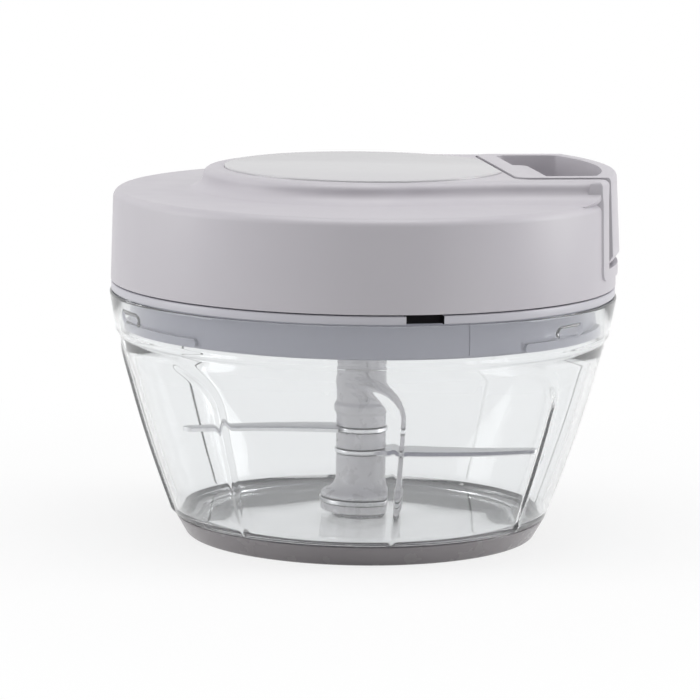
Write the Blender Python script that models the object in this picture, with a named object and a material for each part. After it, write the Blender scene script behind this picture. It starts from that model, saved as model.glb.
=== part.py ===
# Pull-cord food chopper: a clear bowl with a curved blade set, under a lid that holds a recoil reel.
#
# Metres, +Z up. The origin is on the bowl's axis, at the bottom of the base ring.
# The pull handle points along +X and slides out of the lid in that direction.

import math

import bmesh
import bpy
from mathutils import Matrix, Vector

# Fits between pieces
FIT_GAP = 0.0003
RUNNING_GAP = 0.0004
HANDLE_GAP = 0.0007

# How far a cutting shape reaches beyond what it cuts
CUT_OVERRUN = 0.001
LONG_OVERRUN = 0.010
PIVOT_DISPLAY_SIZE = 0.008

# Round shapes
ROUND_SIDES = 60
SMALL_SIDES = 24

# Main sizes: the lid's radius, the bowl's foot and height, and the lid's two top levels
LID_RADIUS = 0.0645
FOOT_RADIUS = 0.0476
RIM_TOP_Z = 0.0627
SHOULDER_HEIGHT = 0.0221
PLATEAU_HEIGHT = 0.0067

# Base ring
RING_HEIGHT = 0.0052
RING_TAPER = 0.0030
RING_LIP_THICKNESS = 0.0015
RING_LIP_WIDTH = 0.0041
RING_WALL = 0.0022
RING_FOOT_RADIUS = FOOT_RADIUS - RING_TAPER
RING_LIP_INNER_RADIUS = RING_FOOT_RADIUS - RING_LIP_WIDTH
RING_WALL_INNER_RADIUS = FOOT_RADIUS - RING_WALL
RING_EDGE = 0.0005

# Bowl
BOWL_WALL = 0.0022
BOWL_FLOOR = 0.0022
BOWL_FOOT_DEPTH = 0.0012
BOWL_FOOT_PROUD = 0.0002
BOWL_FLOOR_FILLET = 0.0040
BOWL_BULGE = 0.0009
RIM_PROUD = 0.0004
RIM_ROUND = 0.0005
COLLAR_HEIGHT = 0.0104
COLLAR_DRAFT = 0.0018
COLLAR_STEP = 0.0009
COLLAR_STEP_HEIGHT = 0.0008
COLLAR_BORE_RISE = 0.0011
COLLAR_WALL = 0.0015
RIM_RADIUS = LID_RADIUS + RIM_PROUD
COLLAR_FOOT_RADIUS = RIM_RADIUS - COLLAR_DRAFT
COLLAR_FOOT_Z = RIM_TOP_Z - COLLAR_HEIGHT
COLLAR_BORE_FOOT_Z = COLLAR_FOOT_Z + COLLAR_BORE_RISE
BOWL_SHOULDER_Z = COLLAR_FOOT_Z - COLLAR_STEP_HEIGHT
BOWL_SHOULDER_RADIUS = COLLAR_FOOT_RADIUS - COLLAR_STEP
RIB_COUNT = 8
RIB_WIDTH = 0.0024
RIB_HEIGHT = 0.0008
RIB_ROOT = 0.0008
RIB_BELOW_SHOULDER = 0.0023
RIB_ABOVE_FOOT = 0.0012
RIB_ARCH_HEIGHT = 0.0105
RIB_ARCH_TURN = 15.0
RIB_TOP_Z = BOWL_SHOULDER_Z - RIB_BELOW_SHOULDER

# Bayonet between bowl and lid
SKIRT_GAP = 0.0014
SKIRT_RADIUS = COLLAR_FOOT_RADIUS - COLLAR_WALL - SKIRT_GAP
LUG_COUNT = 3
FIRST_LUG_ANGLE = -45.0
LUG_ARC = 9.0
LUG_DEPTH = 0.0056
LUG_HEIGHT = 0.0024
LUG_Z = RIM_TOP_Z - LUG_DEPTH
LOCK_RIB_ARC = 18.3
LOCK_RIB_CLEAR_ARC = 1.5
LOCK_RIB_LEAD_ARC = 20.0
LOCK_RIB_STEP_ARC = 1.5
LOCK_RIB_BELOW_LUG = 0.0008
LOCK_RIB_THICKNESS = 0.0018
LOCK_RIB_REACH = 0.0012
LEAD_RIB_REACH = 0.0004
LOCK_RIB_Z = LUG_Z - LOCK_RIB_BELOW_LUG - LOCK_RIB_THICKNESS

# Lid base
FLANGE_THICKNESS = 0.0021
FLANGE_INSET = 0.0001
FLANGE_EDGE = 0.0003
FLANGE_TOP_Z = RIM_TOP_Z + FIT_GAP + FLANGE_THICKNESS
FLANGE_RADIUS = LID_RADIUS - FLANGE_INSET
SKIRT_WALL = 0.0020
SKIRT_DEPTH = 0.0088
SKIRT_BOTTOM_Z = RIM_TOP_Z - SKIRT_DEPTH
LID_FLOOR_DROP = 0.0047
LID_FLOOR_THICKNESS = 0.0020
LID_FLOOR_Z = RIM_TOP_Z - LID_FLOOR_DROP
SPIGOT_HEIGHT = 0.0030
SPIGOT_WALL = 0.0018
SPIGOT_GAP = 0.0005
WINDOW_COUNT = 3
FIRST_WINDOW_ANGLE = -85.5
WINDOW_WIDTH = 0.0093
WINDOW_DEPTH = 0.0023

# Lid cover
COVER_WALL = 0.0022
COVER_DRAFT = 0.0005
COVER_TOP_RADIUS = LID_RADIUS - COVER_DRAFT
SHOULDER_ROUND = 0.0021
SHOULDER_RISE = 0.0004
SHOULDER_Z = FLANGE_TOP_Z + FIT_GAP + SHOULDER_HEIGHT
PLATEAU_Z = SHOULDER_Z + PLATEAU_HEIGHT
PLATEAU_RADIUS = 0.0368
PLATEAU_EDGE_ROUND = 0.0010
PLATEAU_FILLET = 0.0050
PLATEAU_SINK = 0.0004
PLATEAU_ROOT = 0.0020
RIM_EDGE_ROUND = 0.0016
CEILING_THICKNESS = 0.0022

# Reel
REEL_ABOVE_FLOOR = 0.0022
REEL_BOTTOM_Z = LID_FLOOR_Z + LID_FLOOR_THICKNESS + REEL_ABOVE_FLOOR
REEL_FLANGE_RADIUS = 0.0292
REEL_FLANGE_THICKNESS = 0.0015
REEL_DRUM_RADIUS = 0.0220
REEL_DRUM_HEIGHT = 0.0130
REEL_WALL = 0.0018
REEL_WEB_THICKNESS = 0.0022
CLUTCH_ROOM_HEIGHT = 0.0062
AXLE_RADIUS = 0.0020
AXLE_GRIP_LENGTH = 0.0120
AXLE_END_ROOM = 0.0005
AXLE_ABOVE_FLOOR = 0.0030
ARBOR_RADIUS = 0.0046
SPRING_COVER_THICKNESS = 0.0012

# Recoil spring
SPRING_TURNS = 6
SPRING_STRIP_THICKNESS = 0.0004
SPRING_STRIP_HEIGHT = 0.0046

# Cord
CORD_RADIUS = 0.0010
CORD_BELOW_FLANGE = 0.0015
CORD_EXIT_Z = REEL_BOTTOM_Z + REEL_FLANGE_THICKNESS + REEL_DRUM_HEIGHT - CORD_BELOW_FLANGE
WINDING_TURNS = 3.5
WINDING_PITCH = 0.0025
POINTS_PER_TURN = 24
KNOT_RADIUS = 0.0024
KNOT_SINK = 0.0004
CORD_BEND_REACH = 0.0030
GUIDE_SLACK = 0.0012
GUIDE_WALL = 0.0007
GUIDE_MOUTH_ROUND = 0.0005
GUIDE_FLANGE_WIDTH = 0.0014
GUIDE_FLANGE_THICKNESS = 0.0008
GUIDE_FACE_SINK = 0.0001
GUIDE_OUTER_RADIUS = CORD_RADIUS + GUIDE_SLACK + GUIDE_WALL
GUIDE_FLANGE_RADIUS = GUIDE_OUTER_RADIUS + GUIDE_FLANGE_WIDTH

# Handle pocket in the cover, and the raised lip round its notch
POCKET_WALL = 0.0022
REEL_TO_POCKET = 0.0021
POCKET_BACK_X = REEL_FLANGE_RADIUS + REEL_TO_POCKET + POCKET_WALL
POCKET_HALF_WIDTH = 0.0297
POCKET_BELOW_GUIDE = 0.0004
POCKET_FLOOR_Z = CORD_EXIT_Z - GUIDE_OUTER_RADIUS - FIT_GAP - POCKET_BELOW_GUIDE
POCKET_CORNER_RADIUS = 0.0040
LIP_PROUD = 0.0005
LIP_TOP_WIDTH = 0.0024
LIP_SIDE_WIDTH = 0.0040
LIP_BELOW_FLOOR = 0.0028
LIP_OVER_TAIL = 0.0001
TAIL_HALF_WIDTH = POCKET_HALF_WIDTH + LIP_TOP_WIDTH - LIP_OVER_TAIL

# Top plate
PLATE_MARGIN = 0.0010
PLATE_TO_POCKET = 0.0009
PLATE_THICKNESS = 0.0016
PLATE_RECESS = 0.0011
PLATE_ROUND = 0.0004
PLATE_RADIUS = PLATEAU_RADIUS - PLATE_MARGIN
PLATE_CUT_X = POCKET_BACK_X - PLATE_TO_POCKET

# Lid screws
SCREW_ANGLES = (70.0, 135.0, 225.0, 290.0)
SCREW_INSET = 0.0165
SCREW_CIRCLE_RADIUS = LID_RADIUS - SCREW_INSET
SCREW_RADIUS = 0.0015
SCREW_HEAD_RADIUS = 0.0031
SCREW_HEAD_HEIGHT = 0.0019
SCREW_LENGTH = 0.0120
SCREW_POST_WALL = 0.0022
SCREW_POST_RADIUS = SCREW_RADIUS + FIT_GAP + SCREW_POST_WALL
CROSS_WIDTH = 0.0008
CROSS_DEPTH = 0.0010

# Pull handle
HANDLE_FLOOR_GAP = 0.0007
HANDLE_BACK_GAP = 0.0005
HANDLE_BAR_THICKNESS = 0.0046
HANDLE_ARM = 0.0034
GRIP_PROUD = 0.0008
GRIP_LEAN = 0.0015
GRIP_WALL = 0.0035
GRIP_CHAMFER = 0.0015
GRIP_CHAMFER_HEIGHT = 0.0021
GRIP_CORNER = 0.0030
GRIP_TOP_ROUND = 0.0020
GRIP_TOP_INSET = 0.0014
GRIP_BOTTOM_RADIUS = LID_RADIUS + GRIP_PROUD
GRIP_TOP_RADIUS = GRIP_BOTTOM_RADIUS - GRIP_LEAN
GRIP_INNER_RADIUS = GRIP_TOP_RADIUS - GRIP_WALL
TONGUE_LENGTH = 0.0067
TONGUE_HALF_WIDTH = 0.0143
TONGUE_DROP = 0.0009
TONGUE_THICKNESS = 0.0075
TONGUE_CORNER = 0.0030

# Drive shaft and its bush
SHAFT_RADIUS = 0.0043
WHEEL_SEAT_STEP = 0.0008
HEX_RADIUS = 0.0043
HEX_TOP_DROP = 0.0040
HEX_TIP_GAP = 0.0007
HEX_TOP_Z = LID_FLOOR_Z - HEX_TOP_DROP
BUSH_WALL = 0.0018
BUSH_FLANGE_WIDTH = 0.0020
BUSH_FLANGE_THICKNESS = 0.0010
BUSH_DROP = 0.0012

# Clutch
RATCHET_RADIUS = 0.0118
RATCHET_TOOTH_DEPTH = 0.0022
RATCHET_ROOT_RADIUS = RATCHET_RADIUS - RATCHET_TOOTH_DEPTH
RATCHET_TEETH = 8
RATCHET_THICKNESS = 0.0034
TOOTH_FACE_ARC = 3.0
PAWL_PIVOT_RADIUS = 0.0012
PAWL_EYE_RADIUS = 0.0028
PAWL_THICKNESS = 0.0026
PAWL_ARM_DEPTH = 0.0014
PAWL_LIFT = 0.0008
PAWL_COUNT = 2

# Blade heights above the bowl's floor
BOWL_FLOOR_TOP_Z = RING_LIP_THICKNESS + FIT_GAP + BOWL_FOOT_DEPTH + BOWL_FLOOR
UPPER_BLADE_ABOVE_FLOOR = 0.0220
MIDDLE_BLADE_ABOVE_FLOOR = 0.0163
LOWER_BLADE_ABOVE_FLOOR = 0.0038
UPPER_BLADE_Z = BOWL_FLOOR_TOP_Z + UPPER_BLADE_ABOVE_FLOOR
MIDDLE_BLADE_Z = BOWL_FLOOR_TOP_Z + MIDDLE_BLADE_ABOVE_FLOOR
LOWER_BLADE_Z = BOWL_FLOOR_TOP_Z + LOWER_BLADE_ABOVE_FLOOR

# Blade hub
HUB_RADIUS = 0.0064
HUB_WEB = 0.0075
HUB_BELOW_LID = 0.0080
HUB_ABOVE_FLOOR = 0.0010
HUB_BELL_REACH = 0.0038
BELL_ABOVE_BLADE = 0.0018
BELL_GROOVE_DEPTH = 0.0020
BELL_NECK_STEP = 0.0012
BELL_NECK_HEIGHT = 0.0030
HUB_RING_ABOVE_BLADE = 0.0046
HUB_RING_HEIGHT = 0.0016
HUB_RING_REACH = 0.0006
HUB_RING_SLOPE = 0.0009
HUB_TOP_EDGE = 0.0005
BOSS_CLEARANCE = 0.0006
SOCKET_ABOVE_BLADE = 0.0073
HUB_TOP_Z = LID_FLOOR_Z - HUB_BELOW_LID
HUB_BOTTOM_Z = BOWL_FLOOR_TOP_Z + HUB_ABOVE_FLOOR
HUB_BELL_RADIUS = HUB_RADIUS + HUB_BELL_REACH
BELL_GROOVE_RADIUS = HUB_BELL_RADIUS - BELL_GROOVE_DEPTH
HUB_RING_Z = UPPER_BLADE_Z + HUB_RING_ABOVE_BLADE
HUB_RING_RADIUS = HUB_RADIUS + HUB_RING_REACH
SOCKET_BOTTOM_Z = UPPER_BLADE_Z + SOCKET_ABOVE_BLADE
HEX_BOTTOM_Z = SOCKET_BOTTOM_Z + HEX_TIP_GAP

# Centre pin and its boss
PIN_RADIUS = 0.0022
PIN_TIP = 0.0006
PIN_SEAT_DEPTH = 0.0045
PIN_TOP_Z = SOCKET_BOTTOM_Z - HUB_WEB
BOSS_RADIUS = 0.0056
BOSS_HEIGHT = 0.0046
BOSS_TOP_SHARE = 0.72

# Blades
BLADE_THICKNESS = 0.0010
BLADE_TIP_CLEARANCE = 0.0031
BLADE_LENGTH = FOOT_RADIUS + BOWL_FOOT_PROUD - BOWL_WALL - BLADE_TIP_CLEARANCE
BLADE_ROOT_WIDTH = 0.0120
BLADE_TIP_WIDTH = 0.0050
BLADE_SWEEP = 0.0090
BLADE_RING_PROUD = 0.0004
BLADE_GROOVE_DEPTH = 0.0020
BLADE_GROOVE_RADIUS = HUB_RADIUS - BLADE_GROOVE_DEPTH
BLADE_EDGE_WIDTH = 0.0022
BLADE_EDGE_THICKNESS = 0.0003
UPPER_BLADE_ANGLE = 166.0
MIDDLE_BLADE_ANGLE = -21.0
LOWER_BLADE_ANGLE = 71.0

# Colours and finishes
LID_GREY = (0.56, 0.55, 0.555)
PLATE_GREY = (0.62, 0.62, 0.625)
SKIRT_GREY = (0.47, 0.47, 0.50)
CLEAR_PLASTIC = (0.93, 0.95, 0.96)
RING_GREY = (0.42, 0.42, 0.45)
HUB_GREY = (0.62, 0.62, 0.65)
STEEL = (0.68, 0.68, 0.69)
SPRING_STEEL = (0.35, 0.35, 0.37)
WORKS_WHITE = (0.78, 0.78, 0.76)
CORD_WHITE = (0.82, 0.82, 0.80)
BRONZE = (0.55, 0.38, 0.20)


def clear_scene():
    for thing in list(bpy.data.objects):
        bpy.data.objects.remove(thing, do_unlink=True)


def make_material(name, colour, roughness, metallic=0.0, transmission=0.0):
    material = bpy.data.materials.new(name)
    material.use_nodes = True
    shader = material.node_tree.nodes["Principled BSDF"]
    shader.inputs["Base Color"].default_value = (*colour, 1.0)
    shader.inputs["Roughness"].default_value = roughness
    shader.inputs["Metallic"].default_value = metallic
    shader.inputs["Transmission Weight"].default_value = transmission
    return material


def link_mesh(name, bm, material=None, smooth_angle=35.0):
    bmesh.ops.recalc_face_normals(bm, faces=bm.faces)
    mesh = bpy.data.meshes.new(name)
    bm.to_mesh(mesh)
    bm.free()
    mesh.shade_smooth()
    mesh.set_sharp_from_angle(angle=math.radians(smooth_angle))
    thing = bpy.data.objects.new(name, mesh)
    bpy.context.scene.collection.objects.link(thing)
    if material:
        mesh.materials.append(material)
    return thing


def parent_to(thing, pivot):
    """Hang an object on an empty without moving it."""
    thing.parent = pivot
    thing.matrix_parent_inverse = pivot.matrix_world.inverted()


def add_pivot(name, location):
    pivot = bpy.data.objects.new(name, None)
    pivot.location = location
    pivot.empty_display_size = PIVOT_DISPLAY_SIZE
    bpy.context.scene.collection.objects.link(pivot)
    bpy.context.view_layer.update()
    return pivot


def turned_bmesh(profile, sides=ROUND_SIDES, phase=0.0):
    """Turn a closed profile of (radius, height) points about Z. A radius of 0 lies on the axis."""
    bm = bmesh.new()
    columns = []
    for radius, height in profile:
        if radius < 1e-7:
            columns.append([bm.verts.new((0.0, 0.0, height))] * sides)
            continue
        ring = []
        for side in range(sides):
            angle = phase + 2 * math.pi * side / sides
            ring.append(bm.verts.new((radius * math.cos(angle), radius * math.sin(angle), height)))
        columns.append(ring)
    for index, low in enumerate(columns):
        high = columns[(index + 1) % len(columns)]
        for side in range(sides):
            after = (side + 1) % sides
            corners = []
            for vertex in (low[side], low[after], high[after], high[side]):
                if vertex not in corners:
                    corners.append(vertex)
            if len(corners) > 2:
                bm.faces.new(corners)
    return bm


def turned(name, profile, material=None, sides=ROUND_SIDES, phase=0.0):
    return link_mesh(name, turned_bmesh(profile, sides, phase), material)


def prism_bmesh(outline, bottom, top):
    """A straight prism over a closed outline of (x, y) points."""
    bm = bmesh.new()
    base = bm.faces.new([bm.verts.new((x, y, bottom)) for x, y in outline])
    raised = bmesh.ops.extrude_face_region(bm, geom=[base])
    lifted = [item for item in raised["geom"] if isinstance(item, bmesh.types.BMVert)]
    bmesh.ops.translate(bm, vec=(0.0, 0.0, top - bottom), verts=lifted)
    return bm


def lofted_bmesh(loops):
    """Skin a stack of closed loops with equal numbers of 3-D points, and cap both ends."""
    bm = bmesh.new()
    rings = [[bm.verts.new(point) for point in loop] for loop in loops]
    for low, high in zip(rings, rings[1:]):
        count = len(low)
        for index in range(count):
            after = (index + 1) % count
            bm.faces.new((low[index], low[after], high[after], high[index]))
    bm.faces.new(rings[0])
    bm.faces.new(rings[-1])
    return bm


def as_cutter(thing):
    thing.hide_render = True
    thing.display_type = "WIRE"
    return thing


def cut_with(target, operation, others):
    """Apply one Boolean for each of the others, then remove them."""
    for other in others:
        modifier = target.modifiers.new(operation.lower(), "BOOLEAN")
        modifier.operation = operation
        modifier.solver = "EXACT"
        modifier.object = other
        as_cutter(other)
        graph = bpy.context.evaluated_depsgraph_get()
        result = bpy.data.meshes.new_from_object(target.evaluated_get(graph))
        target.modifiers.clear()
        old = target.data
        target.data = result
        result.name = old.name
        bpy.data.meshes.remove(old)
        bpy.data.objects.remove(other, do_unlink=True)
    target.data.shade_smooth()
    target.data.set_sharp_from_angle(angle=math.radians(35.0))
    return target


def arc_points(centre, radius, start, end, steps):
    """Points on an arc between two angles in degrees, both ends included."""
    points = []
    for step in range(steps + 1):
        angle = math.radians(start + (end - start) * step / steps)
        points.append((centre[0] + radius * math.cos(angle), centre[1] + radius * math.sin(angle)))
    return points


def cylinder(name, radius, bottom, top, centre=(0.0, 0.0), sides=SMALL_SIDES, material=None):
    thing = turned(name, [(0.0, bottom), (radius, bottom), (radius, top), (0.0, top)], material, sides)
    thing.data.transform(Matrix.Translation((centre[0], centre[1], 0.0)))
    return thing


def sector(name, inner, outer, bottom, top, middle_angle, arc, steps=8):
    """A block between two radii, over an arc in degrees."""
    start = middle_angle - arc / 2
    end = middle_angle + arc / 2
    outline = arc_points((0.0, 0.0), outer, start, end, steps)
    outline += arc_points((0.0, 0.0), inner, end, start, steps)
    return link_mesh(name, prism_bmesh(outline, bottom, top))


def ease(share):
    return share * share * (3 - 2 * share)


# Bowl and base


def bowl_foot_radius():
    return FOOT_RADIUS + BOWL_FOOT_PROUD


def bowl_bottom_z():
    return RING_LIP_THICKNESS + FIT_GAP


def bowl_wall_foot_z():
    return RING_HEIGHT + FIT_GAP


def bowl_outer_radius(height):
    share = (height - bowl_wall_foot_z()) / (BOWL_SHOULDER_Z - bowl_wall_foot_z())
    straight = bowl_foot_radius() + (BOWL_SHOULDER_RADIUS - bowl_foot_radius()) * share
    return straight + 4 * BOWL_BULGE * share * (1 - share)


def collar_outer_radius(height):
    share = (height - COLLAR_FOOT_Z) / (RIM_TOP_Z - COLLAR_FOOT_Z)
    return COLLAR_FOOT_RADIUS + (RIM_RADIUS - COLLAR_FOOT_RADIUS) * share


def collar_bore_radius(height):
    return collar_outer_radius(height) - COLLAR_WALL


def bowl_profile():
    """Outer side from the rim down, then the underside, and the inner side back up."""
    plug_radius = RING_WALL_INNER_RADIUS - FIT_GAP
    foot_inner = RING_LIP_INNER_RADIUS + BOWL_FOOT_DEPTH
    points = [(RIM_RADIUS - RIM_ROUND, RIM_TOP_Z), (RIM_RADIUS, RIM_TOP_Z - RIM_ROUND)]
    points.append((collar_outer_radius(COLLAR_FOOT_Z), COLLAR_FOOT_Z))
    wall_steps = 5
    for step in range(wall_steps + 1):
        height = BOWL_SHOULDER_Z + (bowl_wall_foot_z() - BOWL_SHOULDER_Z) * step / wall_steps
        points.append((bowl_outer_radius(height), height))
    points.append((plug_radius, bowl_wall_foot_z()))
    points.append((plug_radius, bowl_bottom_z()))
    points.append((foot_inner, bowl_bottom_z()))
    points.append((foot_inner - BOWL_FOOT_DEPTH, bowl_bottom_z() + BOWL_FOOT_DEPTH))
    points.append((0.0, bowl_bottom_z() + BOWL_FOOT_DEPTH))
    boss_top = BOWL_FLOOR_TOP_Z + BOSS_HEIGHT
    points.append((0.0, boss_top))
    points.append((BOSS_RADIUS * BOSS_TOP_SHARE, boss_top))
    points.append((BOSS_RADIUS, BOWL_FLOOR_TOP_Z + BOSS_HEIGHT * 0.25))
    points.append((BOSS_RADIUS * 1.3, BOWL_FLOOR_TOP_Z))
    corner_radius = bowl_outer_radius(BOWL_FLOOR_TOP_Z + BOWL_FLOOR_FILLET) - BOWL_WALL
    for step in range(5):
        angle = math.radians(90 * step / 4)
        radius = corner_radius - BOWL_FLOOR_FILLET * (1 - math.sin(angle))
        points.append((radius, BOWL_FLOOR_TOP_Z + BOWL_FLOOR_FILLET * (1 - math.cos(angle))))
    for step in range(1, wall_steps + 1):
        low = BOWL_FLOOR_TOP_Z + BOWL_FLOOR_FILLET
        height = low + (BOWL_SHOULDER_Z - low) * step / wall_steps
        points.append((bowl_outer_radius(height) - BOWL_WALL, height))
    points.append((collar_bore_radius(COLLAR_BORE_FOOT_Z), COLLAR_BORE_FOOT_Z))
    points.append((collar_bore_radius(RIM_TOP_Z), RIM_TOP_Z))
    return points


def rib_turn(height):
    """How far a rib has swung round the bowl, in degrees, at a height on its arched top."""
    above = height - (RIB_TOP_Z - RIB_ARCH_HEIGHT)
    if above <= 0:
        return 0.0
    share = min(above / RIB_ARCH_HEIGHT, 1.0)
    return -RIB_ARCH_TURN * (1 - math.sqrt(max(0.0, 1 - share * share)))


def rib_path_heights():
    foot = bowl_wall_foot_z() + RIB_ABOVE_FOOT
    heights = [foot + (RIB_TOP_Z - RIB_ARCH_HEIGHT - foot) * step / 4 for step in range(5)]
    for step in range(1, 6):
        heights.append(RIB_TOP_Z - RIB_ARCH_HEIGHT + RIB_ARCH_HEIGHT * math.sin(math.radians(90 * step / 5)))
    return heights


def bowl_rib(name, base_angle):
    """A raised rib that climbs the wall and arches over sideways at its top, pointed at its foot."""
    heights = rib_path_heights()
    centres = []
    for height in heights:
        angle = math.radians(base_angle + rib_turn(height))
        radius = bowl_outer_radius(height)
        centres.append(Vector((radius * math.cos(angle), radius * math.sin(angle), height)))
    loops = []
    for index, centre in enumerate(centres):
        before = centres[max(index - 1, 0)]
        after = centres[min(index + 1, len(centres) - 1)]
        along = (after - before).normalized()
        outward = Vector((centre.x, centre.y, 0.0)).normalized()
        outward = (outward - along * outward.dot(along)).normalized()
        side = along.cross(outward)
        taper = 1.0
        if index == 0:
            taper = 0.25
        if index == len(centres) - 1:
            taper = 0.5
        half = RIB_WIDTH / 2 * taper
        loops.append([
            centre + side * half - outward * RIB_ROOT,
            centre + side * half * 0.5 + outward * RIB_HEIGHT * taper,
            centre - side * half * 0.5 + outward * RIB_HEIGHT * taper,
            centre - side * half - outward * RIB_ROOT,
        ])
    return link_mesh(name, lofted_bmesh(loops))


def bowl_lug(name, angle):
    outer = collar_bore_radius(LUG_Z) + COLLAR_WALL / 2
    inner = lug_inner_radius()
    return sector(name, inner, outer, LUG_Z, LUG_Z + LUG_HEIGHT, angle, LUG_ARC, 4)


def lug_inner_radius():
    return SKIRT_RADIUS + LEAD_RIB_REACH + RUNNING_GAP


def make_bowl(material):
    bowl = turned("bowl", bowl_profile(), material)
    additions = []
    for index in range(RIB_COUNT):
        additions.append(bowl_rib(f"rib_{index}", -90.0 + 360.0 / RIB_COUNT * index))
    for index in range(LUG_COUNT):
        additions.append(bowl_lug(f"lug_{index}", FIRST_LUG_ANGLE + 360.0 / LUG_COUNT * index))
    cut_with(bowl, "UNION", additions)
    pin_hole = cylinder("pin_hole", PIN_RADIUS + FIT_GAP, pin_bottom_z() - FIT_GAP, PIN_TOP_Z)
    return cut_with(bowl, "DIFFERENCE", [pin_hole])


def pin_bottom_z():
    return BOWL_FLOOR_TOP_Z + BOSS_HEIGHT - PIN_SEAT_DEPTH


def make_centre_pin(material):
    profile = [
        (0.0, pin_bottom_z()),
        (PIN_RADIUS, pin_bottom_z()),
        (PIN_RADIUS, PIN_TOP_Z - PIN_TIP),
        (PIN_RADIUS - PIN_TIP, PIN_TOP_Z),
        (0.0, PIN_TOP_Z),
    ]
    return turned("centre_pin", profile, material, SMALL_SIDES)


def make_base_ring(material):
    """A soft ring with a lip that turns in under the bowl's foot."""
    profile = [
        (RING_LIP_INNER_RADIUS, 0.0),
        (RING_FOOT_RADIUS - RING_EDGE, 0.0),
        (RING_FOOT_RADIUS, RING_EDGE),
        (FOOT_RADIUS, RING_HEIGHT),
        (RING_WALL_INNER_RADIUS, RING_HEIGHT),
        (RING_WALL_INNER_RADIUS, RING_LIP_THICKNESS),
        (RING_LIP_INNER_RADIUS, RING_LIP_THICKNESS),
    ]
    return turned("base_ring", profile, material)


# Lid base


def make_lid_base(material):
    """Flange on the bowl's rim, skirt inside the collar, and the floor that carries the works."""
    flange_bottom = FLANGE_TOP_Z - FLANGE_THICKNESS
    floor_top = LID_FLOOR_Z + LID_FLOOR_THICKNESS
    skirt_inner = SKIRT_RADIUS - SKIRT_WALL
    spigot_outer = LID_RADIUS - COVER_WALL - SPIGOT_GAP
    spigot_inner = spigot_outer - SPIGOT_WALL
    bore = bush_outer_radius() + FIT_GAP
    profile = [
        (bore, LID_FLOOR_Z),
        (skirt_inner, LID_FLOOR_Z),
        (skirt_inner, SKIRT_BOTTOM_Z),
        (SKIRT_RADIUS, SKIRT_BOTTOM_Z),
        (SKIRT_RADIUS, flange_bottom),
        (FLANGE_RADIUS, flange_bottom),
        (FLANGE_RADIUS, FLANGE_TOP_Z - FLANGE_EDGE),
        (FLANGE_RADIUS - FLANGE_EDGE, FLANGE_TOP_Z),
        (spigot_outer, FLANGE_TOP_Z),
        (spigot_outer, FLANGE_TOP_Z + SPIGOT_HEIGHT),
        (spigot_inner, FLANGE_TOP_Z + SPIGOT_HEIGHT),
        (spigot_inner, FLANGE_TOP_Z),
        (skirt_inner, flange_bottom),
        (skirt_inner, floor_top),
        (bore, floor_top),
    ]
    base = turned("lid_base", profile, material)
    ribs = []
    for index in range(LUG_COUNT):
        lug_angle = FIRST_LUG_ANGLE + 360.0 / LUG_COUNT * index
        ribs.append(skirt_rib(f"lock_rib_{index}", lug_angle + LUG_ARC / 2 + LOCK_RIB_CLEAR_ARC))
    cut_with(base, "UNION", ribs)
    cutters = []
    for index in range(WINDOW_COUNT):
        cutters.append(window_cutter(f"window_{index}", FIRST_WINDOW_ANGLE + 360.0 / WINDOW_COUNT * index))
    for index, centre in enumerate(screw_centres()):
        hole_top = floor_top + CUT_OVERRUN
        hole_bottom = LID_FLOOR_Z - CUT_OVERRUN
        cutters.append(cylinder(f"hole_{index}", SCREW_RADIUS + FIT_GAP, hole_bottom, hole_top, centre, 16))
    return cut_with(base, "DIFFERENCE", cutters)


def skirt_rib(name, start):
    """A rib that goes under a lug when the lid is turned, with a low lead-in before it."""
    inner = SKIRT_RADIUS - SKIRT_WALL / 2
    lead_start = start - LOCK_RIB_LEAD_ARC
    end = start + LOCK_RIB_ARC
    outline = arc_points((0.0, 0.0), SKIRT_RADIUS + LEAD_RIB_REACH, lead_start, start, 6)
    outline += arc_points((0.0, 0.0), SKIRT_RADIUS + LOCK_RIB_REACH, start + LOCK_RIB_STEP_ARC, end, 6)
    outline += arc_points((0.0, 0.0), inner, end, lead_start, 12)
    return link_mesh(name, prism_bmesh(outline, LOCK_RIB_Z, LOCK_RIB_Z + LOCK_RIB_THICKNESS))


def window_cutter(name, angle):
    inner = FLANGE_RADIUS - WINDOW_DEPTH
    outer = FLANGE_RADIUS + CUT_OVERRUN
    half = WINDOW_WIDTH / 2
    outline = [(inner, -half), (outer, -half), (outer, half), (inner, half)]
    bm = prism_bmesh(outline, FLANGE_TOP_Z - FLANGE_THICKNESS - CUT_OVERRUN, FLANGE_TOP_Z + CUT_OVERRUN)
    bm.transform(Matrix.Rotation(math.radians(angle), 4, "Z"))
    return link_mesh(name, bm)


def screw_centres():
    centres = []
    for angle in SCREW_ANGLES:
        turn = math.radians(angle)
        centres.append((SCREW_CIRCLE_RADIUS * math.cos(turn), SCREW_CIRCLE_RADIUS * math.sin(turn)))
    return centres


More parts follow.
